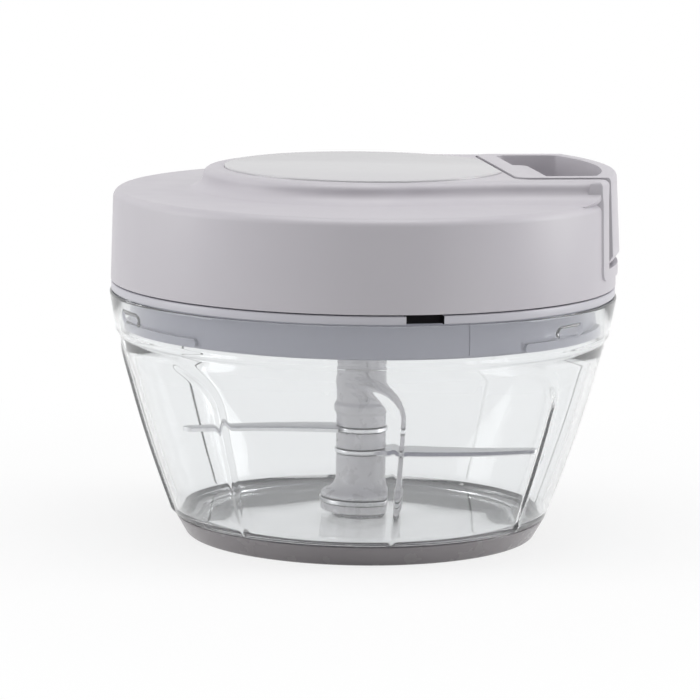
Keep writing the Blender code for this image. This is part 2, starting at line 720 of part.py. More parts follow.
def make_screw(name, centre, material):
    """A pan-head screw, driven up through the floor into a post of the cover."""
    head_top = LID_FLOOR_Z - FIT_GAP
    head_bottom = head_top - SCREW_HEAD_HEIGHT
    shank_top = head_top + SCREW_LENGTH
    profile = [
        (0.0, head_bottom),
        (SCREW_HEAD_RADIUS * 0.72, head_bottom),
        (SCREW_HEAD_RADIUS, head_bottom + SCREW_HEAD_HEIGHT * 0.6),
        (SCREW_HEAD_RADIUS, head_top),
        (SCREW_RADIUS, head_top),
        (SCREW_RADIUS, shank_top - SCREW_RADIUS),
        (0.0, shank_top),
    ]
    screw = turned(name, profile, material, 16)
    half = CROSS_WIDTH / 2
    reach = SCREW_HEAD_RADIUS * 0.6
    slots = []
    for index, turn in enumerate((0.0, 90.0)):
        outline = [(-reach, -half), (reach, -half), (reach, half), (-reach, half)]
        bm = prism_bmesh(outline, head_bottom - CUT_OVERRUN, head_bottom + CROSS_DEPTH)
        bm.transform(Matrix.Rotation(math.radians(turn), 4, "Z"))
        slots.append(link_mesh(f"{name}_slot_{index}", bm))
    cut_with(screw, "DIFFERENCE", slots)
    screw.location = (centre[0], centre[1], 0.0)
    return screw


def bush_outer_radius():
    return SHAFT_RADIUS + RUNNING_GAP + BUSH_WALL


def make_drive_bush(material):
    floor_top = LID_FLOOR_Z + LID_FLOOR_THICKNESS
    inner = SHAFT_RADIUS + RUNNING_GAP
    flange_top = floor_top + FIT_GAP + BUSH_FLANGE_THICKNESS
    profile = [
        (inner, LID_FLOOR_Z - BUSH_DROP),
        (bush_outer_radius(), LID_FLOOR_Z - BUSH_DROP),
        (bush_outer_radius(), floor_top + FIT_GAP),
        (bush_outer_radius() + BUSH_FLANGE_WIDTH, floor_top + FIT_GAP),
        (bush_outer_radius() + BUSH_FLANGE_WIDTH, flange_top),
        (inner, flange_top),
    ]
    return turned("drive_bush", profile, material, SMALL_SIDES)


# Lid cover


def plateau_outline(offset, rim_radius):
    """Round plateau with a straight tail that runs out to the rim at +X, grown by an offset."""
    radius = PLATEAU_RADIUS + offset
    half = TAIL_HALF_WIDTH + offset
    rim_turn = math.degrees(math.asin(half / rim_radius))
    rim_steps = 10
    blend_steps = 6
    round_steps = 26
    leave_turn = 78.0
    outline = arc_points((0.0, 0.0), rim_radius, -rim_turn, rim_turn, rim_steps)
    rim_x = rim_radius * math.cos(math.radians(rim_turn))
    leave = math.radians(leave_turn)
    circle_x = radius * math.cos(leave)
    circle_y = radius * math.sin(leave)
    meet_x = POCKET_BACK_X
    upper = []
    for step in range(blend_steps + 1):
        share = step / blend_steps
        x = meet_x + (circle_x - meet_x) * share
        upper.append((x, half + (circle_y - half) * ease(share)))
    outline.append((rim_x - (rim_x - meet_x) * 0.5, half))
    outline += upper
    outline += arc_points((0.0, 0.0), radius, leave_turn, 360.0 - leave_turn, round_steps)[1:-1]
    outline += [(x, -y) for x, y in reversed(upper)]
    outline.append((rim_x - (rim_x - meet_x) * 0.5, -half))
    return outline


def plateau_layers():
    """Offsets, heights and rim radii from the plateau's foot to its rounded top edge."""
    foot_z = SHOULDER_Z + SHOULDER_RISE - PLATEAU_SINK
    layers = [(PLATEAU_FILLET + PLATEAU_SINK / 2, foot_z - PLATEAU_ROOT, COVER_TOP_RADIUS)]
    steps = 6
    for step in range(steps + 1):
        angle = math.radians(90.0 * step / steps)
        offset = PLATEAU_FILLET * (1 - math.sin(angle))
        rise = PLATEAU_Z - PLATEAU_EDGE_ROUND - foot_z
        layers.append((offset, foot_z + rise * (1 - math.cos(angle)), COVER_TOP_RADIUS))
    for step in range(1, 4):
        angle = math.radians(30.0 * step)
        offset = -PLATEAU_EDGE_ROUND * (1 - math.cos(angle))
        rim = COVER_TOP_RADIUS - RIM_EDGE_ROUND * (1 - math.cos(angle))
        layers.append((offset, PLATEAU_Z - PLATEAU_EDGE_ROUND * (1 - math.sin(angle)), rim))
    return layers


def cover_body_profile():
    """Outer envelope of the cover without its plateau, as a solid."""
    points = [(0.0, cover_bottom_z()), (LID_RADIUS, cover_bottom_z())]
    round_centre = (COVER_TOP_RADIUS - SHOULDER_ROUND, SHOULDER_Z - SHOULDER_ROUND)
    points += arc_points(round_centre, SHOULDER_ROUND, 0.0, 90.0, 5)
    points.append((PLATEAU_RADIUS, SHOULDER_Z + SHOULDER_RISE))
    points.append((0.0, SHOULDER_Z + SHOULDER_RISE))
    return points


def cover_bottom_z():
    return FLANGE_TOP_Z + FIT_GAP


def cover_hollow_profile():
    """The room inside the cover, as a solid to take away."""
    inner = LID_RADIUS - COVER_WALL
    shoulder = SHOULDER_Z - CEILING_THICKNESS
    top = PLATEAU_Z - PLATE_RECESS - CEILING_THICKNESS
    step_radius = PLATEAU_RADIUS - CEILING_THICKNESS
    return [
        (0.0, cover_bottom_z() - LONG_OVERRUN),
        (inner, cover_bottom_z() - LONG_OVERRUN),
        (inner, cover_bottom_z()),
        (COVER_TOP_RADIUS - COVER_WALL, shoulder - CUT_OVERRUN),
        (COVER_TOP_RADIUS - COVER_WALL - CUT_OVERRUN, shoulder),
        (step_radius, shoulder),
        (step_radius, top),
        (0.0, top),
    ]


def pocket_outline(back_x, half_width, corner, far_x):
    outline = [(far_x, -half_width), (far_x, half_width)]
    outline += arc_points((back_x + corner, half_width - corner), corner, 90.0, 180.0, 5)
    outline += arc_points((back_x + corner, corner - half_width), corner, 180.0, 270.0, 5)
    return outline


def cover_radius(height):
    share = (height - cover_bottom_z()) / (SHOULDER_Z - SHOULDER_ROUND - cover_bottom_z())
    return LID_RADIUS + (COVER_TOP_RADIUS - LID_RADIUS) * min(share, 1.0)


def notch_lip():
    """A raised rim round the handle's notch, on the cover's round side."""
    foot = POCKET_FLOOR_Z - LIP_BELOW_FLOOR
    wide = POCKET_HALF_WIDTH + LIP_SIDE_WIDTH
    narrow = POCKET_HALF_WIDTH + LIP_TOP_WIDTH
    wide_top = SHOULDER_Z - SHOULDER_ROUND
    layers = [
        (foot, 0.0, wide - LIP_PROUD),
        (foot + LIP_PROUD, LIP_PROUD, wide),
        (wide_top, LIP_PROUD, wide),
        ((wide_top + PLATEAU_Z) / 2, LIP_PROUD, (wide + narrow) / 2 - LIP_PROUD / 2),
        (PLATEAU_Z - RIM_EDGE_ROUND, LIP_PROUD, narrow),
    ]
    for turn in (30.0, 60.0, 88.0):
        inset = RIM_EDGE_ROUND * (1 - math.cos(math.radians(turn)))
        height = PLATEAU_Z - RIM_EDGE_ROUND * (1 - math.sin(math.radians(turn)))
        layers.append((height, LIP_PROUD - inset, narrow - inset * LIP_PROUD / RIM_EDGE_ROUND))
    inner = COVER_TOP_RADIUS - COVER_WALL + LIP_PROUD
    loops = []
    for height, proud, half_width in layers:
        radius = cover_radius(height) + proud
        turn = math.degrees(math.asin(half_width / radius))
        outline = arc_points((0.0, 0.0), radius, -turn, turn, 14)
        outline += arc_points((0.0, 0.0), inner, turn, -turn, 14)
        loops.append([(x, y, height) for x, y in outline])
    return link_mesh("notch_lip", lofted_bmesh(loops))


def make_lid_cover(material):
    cover = turned("lid_cover", cover_body_profile(), material)
    loops = []
    for offset, height, rim in plateau_layers():
        loops.append([(x, y, height) for x, y in plateau_outline(offset, rim)])
    plateau = link_mesh("plateau", lofted_bmesh(loops))
    hollow = turned("hollow", cover_hollow_profile())
    cut_with(cover, "UNION", [plateau, notch_lip()])
    # The pocket's walls and floor are the part of the envelope that the hollow leaves standing.
    wall_outline = pocket_outline(
        POCKET_BACK_X - POCKET_WALL,
        POCKET_HALF_WIDTH + POCKET_WALL,
        POCKET_CORNER_RADIUS + POCKET_WALL,
        LID_RADIUS * 1.2,
    )
    pocket_walls = link_mesh("pocket_walls", prism_bmesh(wall_outline, POCKET_FLOOR_Z - POCKET_WALL, PLATEAU_Z))
    cut_with(hollow, "DIFFERENCE", [pocket_walls])
    cut_with(cover, "DIFFERENCE", [hollow])
    post_bottom = LID_FLOOR_Z + LID_FLOOR_THICKNESS + FIT_GAP
    post_top = SHOULDER_Z - CEILING_THICKNESS / 2
    additions = []
    for index, centre in enumerate(screw_centres()):
        additions.append(cylinder(f"post_{index}", SCREW_POST_RADIUS, post_bottom, post_top, centre, 20))
    arbor_top = PLATEAU_Z - PLATE_RECESS - CEILING_THICKNESS / 2
    additions.append(cylinder("arbor", ARBOR_RADIUS, arbor_bottom_z(), arbor_top))
    cut_with(cover, "UNION", additions)
    slot_outline = pocket_outline(POCKET_BACK_X, POCKET_HALF_WIDTH, POCKET_CORNER_RADIUS, LID_RADIUS * 1.2)
    cutters = [link_mesh("slot", prism_bmesh(slot_outline, POCKET_FLOOR_Z, PLATEAU_Z + LONG_OVERRUN))]
    cutters.append(link_mesh("plate_seat", plate_bmesh(FIT_GAP, PLATEAU_Z - PLATE_RECESS, PLATEAU_Z + LONG_OVERRUN)))
    for index, centre in enumerate(screw_centres()):
        bore_top = LID_FLOOR_Z + SCREW_LENGTH + CUT_OVERRUN
        bore_bottom = LID_FLOOR_Z + CUT_OVERRUN
        cutters.append(cylinder(f"bore_{index}", SCREW_RADIUS + FIT_GAP, bore_bottom, bore_top, centre, 16))
    axle_bore = cylinder("axle_bore", AXLE_RADIUS + FIT_GAP, arbor_bottom_z() - CUT_OVERRUN, axle_top_z() + FIT_GAP)
    guide_hole = cylinder("guide_hole", GUIDE_OUTER_RADIUS + FIT_GAP, -LONG_OVERRUN, LONG_OVERRUN)
    guide_hole.data.transform(Matrix.Rotation(math.radians(90), 4, "Y"))
    guide_hole.data.transform(Matrix.Translation((POCKET_BACK_X - POCKET_WALL / 2, 0.0, CORD_EXIT_Z)))
    cutters += [axle_bore, guide_hole]
    return cut_with(cover, "DIFFERENCE", cutters)


def plate_bmesh(growth, bottom, top):
    """The top plate's round outline, cut straight where the handle begins."""
    radius = PLATE_RADIUS + growth
    cut = PLATE_CUT_X + growth
    turn = math.degrees(math.acos(min(cut / radius, 1.0)))
    return prism_bmesh(arc_points((0.0, 0.0), radius, turn, 360.0 - turn, 48), bottom, top)


def make_top_plate(material):
    bottom = PLATEAU_Z - PLATE_RECESS + FIT_GAP
    bm = plate_bmesh(0.0, bottom, bottom + PLATE_THICKNESS - FIT_GAP)
    upper = [edge for edge in bm.edges if all(v.co.z > bottom + PLATE_THICKNESS / 2 for v in edge.verts)]
    bmesh.ops.bevel(bm, geom=upper, offset=PLATE_ROUND, segments=2, affect="EDGES", profile=0.5)
    return link_mesh("top_plate", bm, material)


# Pull handle


def grip_outline(radius, half_width, back_x, corner):
    """Straight back and sides, and a front that follows the lid's round wall."""
    turn = math.degrees(math.asin(half_width / radius))
    outline = arc_points((0.0, 0.0), radius, -turn, turn, 14)
    outline += arc_points((back_x + corner, half_width - corner), corner, 90.0, 180.0, 4)
    outline += arc_points((back_x + corner, corner - half_width), corner, 180.0, 270.0, 4)
    return outline


def handle_bottom_z():
    return POCKET_FLOOR_Z + HANDLE_FLOOR_GAP


def handle_back_x():
    return POCKET_BACK_X + HANDLE_BACK_GAP


def handle_half_width():
    return POCKET_HALF_WIDTH - HANDLE_GAP


def grip_radius(height):
    share = (PLATEAU_Z - height) / (PLATEAU_Z - handle_bottom_z())
    return GRIP_TOP_RADIUS + (GRIP_BOTTOM_RADIUS - GRIP_TOP_RADIUS) * share


def make_pull_handle(material):
    """One moulding: back bar, two arms, round grip wall, and the cord's tongue in the opening."""
    corner = POCKET_CORNER_RADIUS - FIT_GAP
    layers = [
        (handle_bottom_z(), GRIP_BOTTOM_RADIUS - GRIP_CHAMFER),
        (handle_bottom_z() + GRIP_CHAMFER_HEIGHT, GRIP_BOTTOM_RADIUS),
    ]
    for turn in (0.0, 30.0, 60.0, 85.0):
        drop = GRIP_TOP_ROUND * (1 - math.sin(math.radians(turn)))
        inset = GRIP_TOP_INSET * (1 - math.cos(math.radians(turn)))
        layers.append((PLATEAU_Z - drop, grip_radius(PLATEAU_Z - drop) - inset))
    layers.append((PLATEAU_Z, grip_radius(PLATEAU_Z) - GRIP_TOP_INSET * 1.1))
    loops = []
    for height, radius in layers:
        outline = grip_outline(radius, handle_half_width(), handle_back_x(), corner)
        loops.append([(x, y, height) for x, y in outline])
    handle = link_mesh("pull_handle", lofted_bmesh(loops), material)
    bar_front = handle_back_x() + HANDLE_BAR_THICKNESS
    inner_half = handle_half_width() - HANDLE_ARM
    hole_outline = grip_outline(GRIP_INNER_RADIUS, inner_half, bar_front, GRIP_CORNER)
    opening = link_mesh("opening", prism_bmesh(hole_outline, handle_bottom_z() - LONG_OVERRUN, PLATEAU_Z + LONG_OVERRUN))
    tongue_outline = [(bar_front - CUT_OVERRUN, -TONGUE_HALF_WIDTH)]
    centre_x = bar_front + TONGUE_LENGTH - TONGUE_CORNER
    centre_y = TONGUE_HALF_WIDTH - TONGUE_CORNER
    tongue_outline += arc_points((centre_x, -centre_y), TONGUE_CORNER, -90.0, 0.0, 5)
    tongue_outline += arc_points((centre_x, centre_y), TONGUE_CORNER, 0.0, 90.0, 5)
    tongue_outline.append((bar_front - CUT_OVERRUN, TONGUE_HALF_WIDTH))
    tongue_top = PLATEAU_Z - TONGUE_DROP
    tongue_bm = prism_bmesh(tongue_outline, tongue_top - TONGUE_THICKNESS, tongue_top)
    tongue = link_mesh("tongue", tongue_bm)
    cut_with(handle, "DIFFERENCE", [opening])
    cut_with(handle, "UNION", [tongue])
    cord_hole = cylinder("cord_hole", CORD_RADIUS + FIT_GAP, -LONG_OVERRUN, LONG_OVERRUN, (0.0, 0.0), 16)
    cord_hole.data.transform(Matrix.Rotation(math.radians(90), 4, "Y"))
    cord_hole.data.transform(Matrix.Translation((handle_back_x(), 0.0, CORD_EXIT_Z)))
    return cut_with(handle, "DIFFERENCE", [cord_hole])


# Cord


def winding_radius():
    return REEL_DRUM_RADIUS + CORD_RADIUS + FIT_GAP


def leave_angle():
    """Where the cord leaves the drum, in radians, on its straight way to the guide."""
    return math.acos(winding_radius() / (POCKET_BACK_X - POCKET_WALL))


def tube(name, points, radius, material, resolution=2):
    curve = bpy.data.curves.new(name, "CURVE")
    curve.dimensions = "3D"
    curve.bevel_depth = radius
    curve.bevel_resolution = resolution
    curve.use_fill_caps = True
    spline = curve.splines.new("POLY")
    spline.points.add(len(points) - 1)
    for target, point in zip(spline.points, points):
        target.co = (point[0], point[1], point[2], 1.0)
    thing = bpy.data.objects.new(name, curve)
    bpy.context.scene.collection.objects.link(thing)
    curve.materials.append(material)
    return thing


def winding_points():
    """A helix on the drum, counted back from where the cord leaves it."""
    steps = int(WINDING_TURNS * POINTS_PER_TURN)
    points = []
    for step in range(steps + 1):
        turns_back = WINDING_TURNS * (steps - step) / steps
        angle = leave_angle() + 2 * math.pi * turns_back
        height = winding_top_z() - WINDING_PITCH * turns_back
        points.append((winding_radius() * math.cos(angle), winding_radius() * math.sin(angle), height))
    return points


def winding_top_z():
    return CORD_EXIT_Z - FIT_GAP


def least_gap(points, radius, skip):
    """Smallest clear distance between stretches of a tube that lie at least skip points apart."""
    nearest = 1.0
    for index, point in enumerate(points):
        for other in points[index + skip:]:
            distance = math.dist(point, other) - 2 * radius
            nearest = min(nearest, distance)
    return nearest


def run_points():
    """From the drum straight to the guide, a soft bend there, and on to the knot in the handle."""
    start = Vector(winding_points()[-1])
    bend = Vector((POCKET_BACK_X - POCKET_WALL, 0.0, CORD_EXIT_Z))
    direction = (bend - start).normalized()
    first = start + direction * FIT_GAP
    knot_face = handle_back_x() + HANDLE_BAR_THICKNESS + FIT_GAP - KNOT_SINK
    points = [first, start + direction * (bend - start).length * 0.35]
    reach = CORD_BEND_REACH
    before = bend - direction * reach
    after = bend + Vector((reach, 0.0, 0.0))
    for step in range(6):
        share = step / 5
        points.append(before.lerp(bend, share).lerp(bend.lerp(after, share), share))
    points.append(Vector((knot_face, 0.0, CORD_EXIT_Z)))
    return points


def make_cord_winding(material):
    points = winding_points()
    gap = least_gap(points, CORD_RADIUS, POINTS_PER_TURN // 2)
    print(f"cord winding: least gap between turns {gap * 1000:.2f} mm")
    return tube("cord_winding", points, CORD_RADIUS, material, 1)


def make_cord_run(material):
    return tube("cord_run", run_points(), CORD_RADIUS, material, 2)


def make_cord_knot(material):
    """A tied stopper that bears on the front of the handle's back bar."""
    face = handle_back_x() + HANDLE_BAR_THICKNESS + FIT_GAP
    profile = [(0.0, 0.0)]
    for step in range(1, 8):
        angle = math.radians(180.0 * step / 8)
        swell = 1.0 + 0.08 * math.cos(4 * angle)
        profile.append((KNOT_RADIUS * math.sin(angle) * swell, KNOT_RADIUS * (1 - math.cos(angle))))
    profile.append((0.0, 2 * KNOT_RADIUS))
    bm = turned_bmesh(profile, 16)
    bm.transform(Matrix.Rotation(math.radians(90), 4, "Y"))
    bm.transform(Matrix.Translation((face, 0.0, CORD_EXIT_Z)))
    return link_mesh("cord_knot", bm, material, 80.0)


def make_cord_guide(material):
    """A smooth eyelet through the back wall of the pocket."""
    inner = CORD_RADIUS + GUIDE_SLACK
    back = -POCKET_WALL - FIT_GAP - GUIDE_FLANGE_THICKNESS
    front = -GUIDE_FACE_SINK
    mouth = GUIDE_MOUTH_ROUND
    profile = [
        (inner + mouth, back),
        (GUIDE_FLANGE_RADIUS, back),
        (GUIDE_FLANGE_RADIUS, back + GUIDE_FLANGE_THICKNESS),
        (GUIDE_OUTER_RADIUS, back + GUIDE_FLANGE_THICKNESS),
        (GUIDE_OUTER_RADIUS, front),
        (inner + mouth, front),
        (inner, front - mouth),
        (inner, back + mouth),
    ]
    bm = turned_bmesh(profile, SMALL_SIDES)
    bm.transform(Matrix.Rotation(math.radians(90), 4, "Y"))
    bm.transform(Matrix.Translation((POCKET_BACK_X, 0.0, CORD_EXIT_Z)))
    return link_mesh("cord_guide", bm, material)


# Reel and recoil spring


def reel_web_bottom_z():
    return REEL_BOTTOM_Z + CLUTCH_ROOM_HEIGHT


def reel_web_top_z():
    return reel_web_bottom_z() + REEL_WEB_THICKNESS


def reel_drum_top_z():
    return REEL_BOTTOM_Z + REEL_FLANGE_THICKNESS + REEL_DRUM_HEIGHT


def reel_top_z():
    return reel_drum_top_z() + REEL_FLANGE_THICKNESS


def reel_room_radius():
    return REEL_DRUM_RADIUS - REEL_WALL


def arbor_bottom_z():
    return reel_web_top_z() + RUNNING_GAP


def axle_top_z():
    return arbor_bottom_z() + AXLE_GRIP_LENGTH


def axle_bottom_z():
    return LID_FLOOR_Z + LID_FLOOR_THICKNESS + AXLE_ABOVE_FLOOR


def make_cord_reel(material):
    """A spool with a clutch room below its web and the spring's room above it."""
    room = reel_room_radius()
    bore = AXLE_RADIUS + RUNNING_GAP
    profile = [
        (room, REEL_BOTTOM_Z),
        (REEL_FLANGE_RADIUS, REEL_BOTTOM_Z),
        (REEL_FLANGE_RADIUS, REEL_BOTTOM_Z + REEL_FLANGE_THICKNESS),
        (REEL_DRUM_RADIUS, REEL_BOTTOM_Z + REEL_FLANGE_THICKNESS),
        (REEL_DRUM_RADIUS, reel_drum_top_z()),
        (REEL_FLANGE_RADIUS, reel_drum_top_z()),
        (REEL_FLANGE_RADIUS, reel_top_z()),
        (room, reel_top_z()),
        (room, reel_web_top_z()),
        (bore, reel_web_top_z()),
        (bore, reel_web_bottom_z()),
        (room, reel_web_bottom_z()),
    ]
    reel = turned("cord_reel", profile, material, 40)
    pivots = []
    for index, centre in enumerate(pawl_centres()):
        bottom = pawl_bottom_z()
        top = reel_web_bottom_z() + CUT_OVERRUN
        pivots.append(cylinder(f"pivot_{index}", PAWL_PIVOT_RADIUS, bottom, top, centre, 16))
    return cut_with(reel, "UNION", pivots)


def make_spring_cover(material):
    """The disc that closes the spring's room and turns with the reel."""
    bottom = reel_top_z() + FIT_GAP
    top = bottom + SPRING_COVER_THICKNESS
    inner = ARBOR_RADIUS + RUNNING_GAP * 2
    outer = REEL_DRUM_RADIUS
    profile = [(inner, bottom), (outer, bottom), (outer, top), (inner, top)]
    return turned("spring_cover", profile, material, 40)


def make_reel_axle(material):
    profile = [
        (0.0, axle_bottom_z()),
        (AXLE_RADIUS, axle_bottom_z()),
        (AXLE_RADIUS, axle_top_z()),
        (0.0, axle_top_z()),
    ]
    return turned("reel_axle", profile, material, SMALL_SIDES)


def make_power_spring(material):
    """A flat steel strip, coiled as one open spiral from the arbor out to the reel's wall."""
    points_per_turn = 16
    steps = SPRING_TURNS * points_per_turn
    bottom = reel_web_top_z() + RUNNING_GAP
    half = SPRING_STRIP_THICKNESS / 2
    first_radius = ARBOR_RADIUS + FIT_GAP + half
    last_radius = reel_room_radius() - FIT_GAP - half
    inner_points = []
    outer_points = []
    for step in range(steps + 1):
        share = step / steps
        angle = 2 * math.pi * SPRING_TURNS * share
        radius = first_radius + (last_radius - first_radius) * share
        inner_points.append(((radius - half) * math.cos(angle), (radius - half) * math.sin(angle)))
        outer_points.append(((radius + half) * math.cos(angle), (radius + half) * math.sin(angle)))
    outline_loops = []
    for near, far in zip(inner_points, outer_points):
        top = bottom + SPRING_STRIP_HEIGHT
        outline_loops.append([(*near, bottom), (*far, bottom), (*far, top), (*near, top)])
    pitch = (last_radius - first_radius) / SPRING_TURNS
    print(f"recoil spring: gap between turns {(pitch - SPRING_STRIP_THICKNESS) * 1000:.2f} mm")
    return link_mesh("recoil_spring", lofted_bmesh(outline_loops), material)


# Clutch and drive


def tooth_ramp_arc():
    return 360.0 / RATCHET_TEETH - TOOTH_FACE_ARC


def ramp_radius(past_root):
    """Radius of a tooth's ramp, at an angle in degrees past its root."""
    return RATCHET_ROOT_RADIUS + (RATCHET_RADIUS - RATCHET_ROOT_RADIUS) * past_root / tooth_ramp_arc()


def pawl_circle():
    """Radius of the pawls' pivots: each eye runs just outside the teeth."""
    return RATCHET_RADIUS + RUNNING_GAP + PAWL_EYE_RADIUS


def pawl_angles():
    """A pawl's pivot stands over the tip of the tooth whose root its nose drops into."""
    return [tooth_ramp_arc() + 360.0 / PAWL_COUNT * index for index in range(PAWL_COUNT)]


def pawl_centres():
    centres = []
    for angle in pawl_angles():
        turn = math.radians(angle)
        centres.append((pawl_circle() * math.cos(turn), pawl_circle() * math.sin(turn)))
    return centres


def ratchet_bottom_z():
    return LID_FLOOR_Z + LID_FLOOR_THICKNESS + FIT_GAP + BUSH_FLANGE_THICKNESS + FIT_GAP


def pawl_bottom_z():
    return ratchet_bottom_z() + PAWL_LIFT


def ratchet_top_z():
    return ratchet_bottom_z() + RATCHET_THICKNESS


def make_ratchet_wheel(material):
    """Saw teeth whose steep faces the pawls push as the reel turns clockwise."""
    outline = []
    for index in range(RATCHET_TEETH):
        root = 360.0 / RATCHET_TEETH * index
        for share in (0.0, 0.33, 0.66, 1.0):
            past_root = tooth_ramp_arc() * share
            angle = math.radians(root + past_root)
            outline.append((ramp_radius(past_root) * math.cos(angle), ramp_radius(past_root) * math.sin(angle)))
    wheel = link_mesh("ratchet_wheel", prism_bmesh(outline, ratchet_bottom_z(), ratchet_top_z()), material)
    bore = cylinder("bore", wheel_seat_radius() + FIT_GAP, ratchet_bottom_z() - CUT_OVERRUN, ratchet_top_z() + CUT_OVERRUN)
    return cut_with(wheel, "DIFFERENCE", [bore])


def wheel_seat_radius():
    return SHAFT_RADIUS - WHEEL_SEAT_STEP


def make_drive_shaft(material):
    """Round in its bush, hexagonal below, with a smaller seat for the ratchet wheel on top."""
    seat = wheel_seat_radius()
    profile = [
        (0.0, HEX_TOP_Z - CUT_OVERRUN),
        (SHAFT_RADIUS, HEX_TOP_Z - CUT_OVERRUN),
        (SHAFT_RADIUS, ratchet_bottom_z() - FIT_GAP),
        (seat, ratchet_bottom_z() - FIT_GAP),
        (seat, ratchet_top_z()),
        (0.0, ratchet_top_z()),
    ]
    shaft = turned("drive_shaft", profile, material, SMALL_SIDES)
    hexagon = arc_points((0.0, 0.0), HEX_RADIUS, 0.0, 300.0, 5)
    post = link_mesh("hex_post", prism_bmesh(hexagon, HEX_BOTTOM_Z, HEX_TOP_Z))
    cut_with(shaft, "UNION", [post])
    bore = cylinder("axle_end", AXLE_RADIUS + RUNNING_GAP, axle_bottom_z() - AXLE_END_ROOM, ratchet_top_z() + CUT_OVERRUN)
    return cut_with(shaft, "DIFFERENCE", [bore])


def pawl_point(radius, past_root):
    """A point round the ratchet's axis, seen from the pawl's own pivot."""
    angle = math.radians(past_root - tooth_ramp_arc())
    return (radius * math.cos(angle) - pawl_circle(), radius * math.sin(angle))


def make_pawl(name, centre, turn, material):
    """An eye on the reel's pivot, an arm over the tooth's ramp, and a nose against the steep face."""
    outline = arc_points((0.0, 0.0), PAWL_EYE_RADIUS, -95.0, 205.0, 14)
    for share in (0.8, 0.6, 0.4, 0.2):
        past_root = tooth_ramp_arc() * share
        outline.append(pawl_point(ramp_radius(past_root) + RUNNING_GAP, past_root))
    face_gap = math.degrees(FIT_GAP / RATCHET_ROOT_RADIUS)
    outline.append(pawl_point(RATCHET_ROOT_RADIUS + RUNNING_GAP, face_gap))
    outline.append(pawl_point(RATCHET_RADIUS, face_gap - TOOTH_FACE_ARC))
    outline.append(pawl_point(RATCHET_RADIUS + PAWL_ARM_DEPTH * 0.6, tooth_ramp_arc() * 0.3))
    outline.append(pawl_point(RATCHET_RADIUS + PAWL_ARM_DEPTH, tooth_ramp_arc() * 0.65))
    bm = prism_bmesh(outline, pawl_bottom_z(), pawl_bottom_z() + PAWL_THICKNESS)
    pawl = link_mesh(name, bm, material)
    hole = cylinder(f"{name}_hole", PAWL_PIVOT_RADIUS + FIT_GAP, pawl_bottom_z() - CUT_OVERRUN,
                    pawl_bottom_z() + PAWL_THICKNESS + CUT_OVERRUN, (0.0, 0.0), 16)
    cut_with(pawl, "DIFFERENCE", [hole])
    pawl.location = (centre[0], centre[1], 0.0)
    pawl.rotation_euler = (0.0, 0.0, math.radians(turn))
    return pawl


# Blade unit


def blade_groove(height, hub_radius, core_radius):
    """Profile points of the groove that a blade's ring sits in, from the bottom up."""
    low = height - BLADE_THICKNESS / 2 - FIT_GAP
    high = height + BLADE_THICKNESS / 2 + FIT_GAP
    return [(hub_radius, low), (core_radius, low), (core_radius, high), (hub_radius, high)]


def hub_seat_z():
    return BOWL_FLOOR_TOP_Z + BOSS_HEIGHT + RUNNING_GAP


def make_blade_hub(material):
    """A tube with a bell foot, a groove for each blade's ring, and a hexagonal socket at its top."""
    bore = PIN_RADIUS + RUNNING_GAP
    bell_top = LOWER_BLADE_Z + BELL_ABOVE_BLADE
    profile = [
        (bore, hub_seat_z()),
        (BOSS_RADIUS * BOSS_TOP_SHARE + BOSS_CLEARANCE, hub_seat_z()),
        (BOSS_RADIUS + BOSS_CLEARANCE, HUB_BOTTOM_Z),
        (HUB_BELL_RADIUS, HUB_BOTTOM_Z),
    ]
    profile += blade_groove(LOWER_BLADE_Z, HUB_BELL_RADIUS, BELL_GROOVE_RADIUS)
    profile.append((HUB_BELL_RADIUS, bell_top))
    profile.append((HUB_RADIUS + BELL_NECK_STEP, bell_top + BELL_NECK_STEP))
    profile.append((HUB_RADIUS, bell_top + BELL_NECK_HEIGHT))
    for height in (MIDDLE_BLADE_Z, UPPER_BLADE_Z):
        profile += blade_groove(height, HUB_RADIUS, BLADE_GROOVE_RADIUS)
    profile += [
        (HUB_RADIUS, HUB_RING_Z - HUB_RING_SLOPE),
        (HUB_RING_RADIUS, HUB_RING_Z),
        (HUB_RING_RADIUS, HUB_RING_Z + HUB_RING_HEIGHT),
        (HUB_RADIUS, HUB_RING_Z + HUB_RING_HEIGHT + HUB_RING_SLOPE),
        (HUB_RADIUS, HUB_TOP_Z - HUB_TOP_EDGE),
        (HUB_RADIUS - HUB_TOP_EDGE, HUB_TOP_Z),
        (0.0, HUB_TOP_Z),
        (0.0, PIN_TOP_Z + RUNNING_GAP),
        (bore, PIN_TOP_Z + RUNNING_GAP),
    ]
    hub = turned("blade_hub", profile, material, 30)
    socket_outline = arc_points((0.0, 0.0), HEX_RADIUS + RUNNING_GAP, 0.0, 300.0, 5)
    socket = link_mesh("socket", prism_bmesh(socket_outline, SOCKET_BOTTOM_Z, HUB_TOP_Z + CUT_OVERRUN))
    return cut_with(hub, "DIFFERENCE", [socket])


def blade_half_width(share):
    return (BLADE_ROOT_WIDTH + (BLADE_TIP_WIDTH - BLADE_ROOT_WIDTH) * share ** 1.4) / 2


def blade_section(x, middle, half_width, bottom):
    """One cut through a blade: thin at the edge, a ground slope, then the sheet's full thickness."""
    lead = middle - half_width
    top = bottom + BLADE_THICKNESS
    slope = min(BLADE_EDGE_WIDTH, half_width)
    return [
        (x, lead, bottom),
        (x, middle + half_width, bottom),
        (x, middle + half_width, top),
        (x, lead + slope, top),
        (x, lead, bottom + BLADE_EDGE_THICKNESS),
    ]


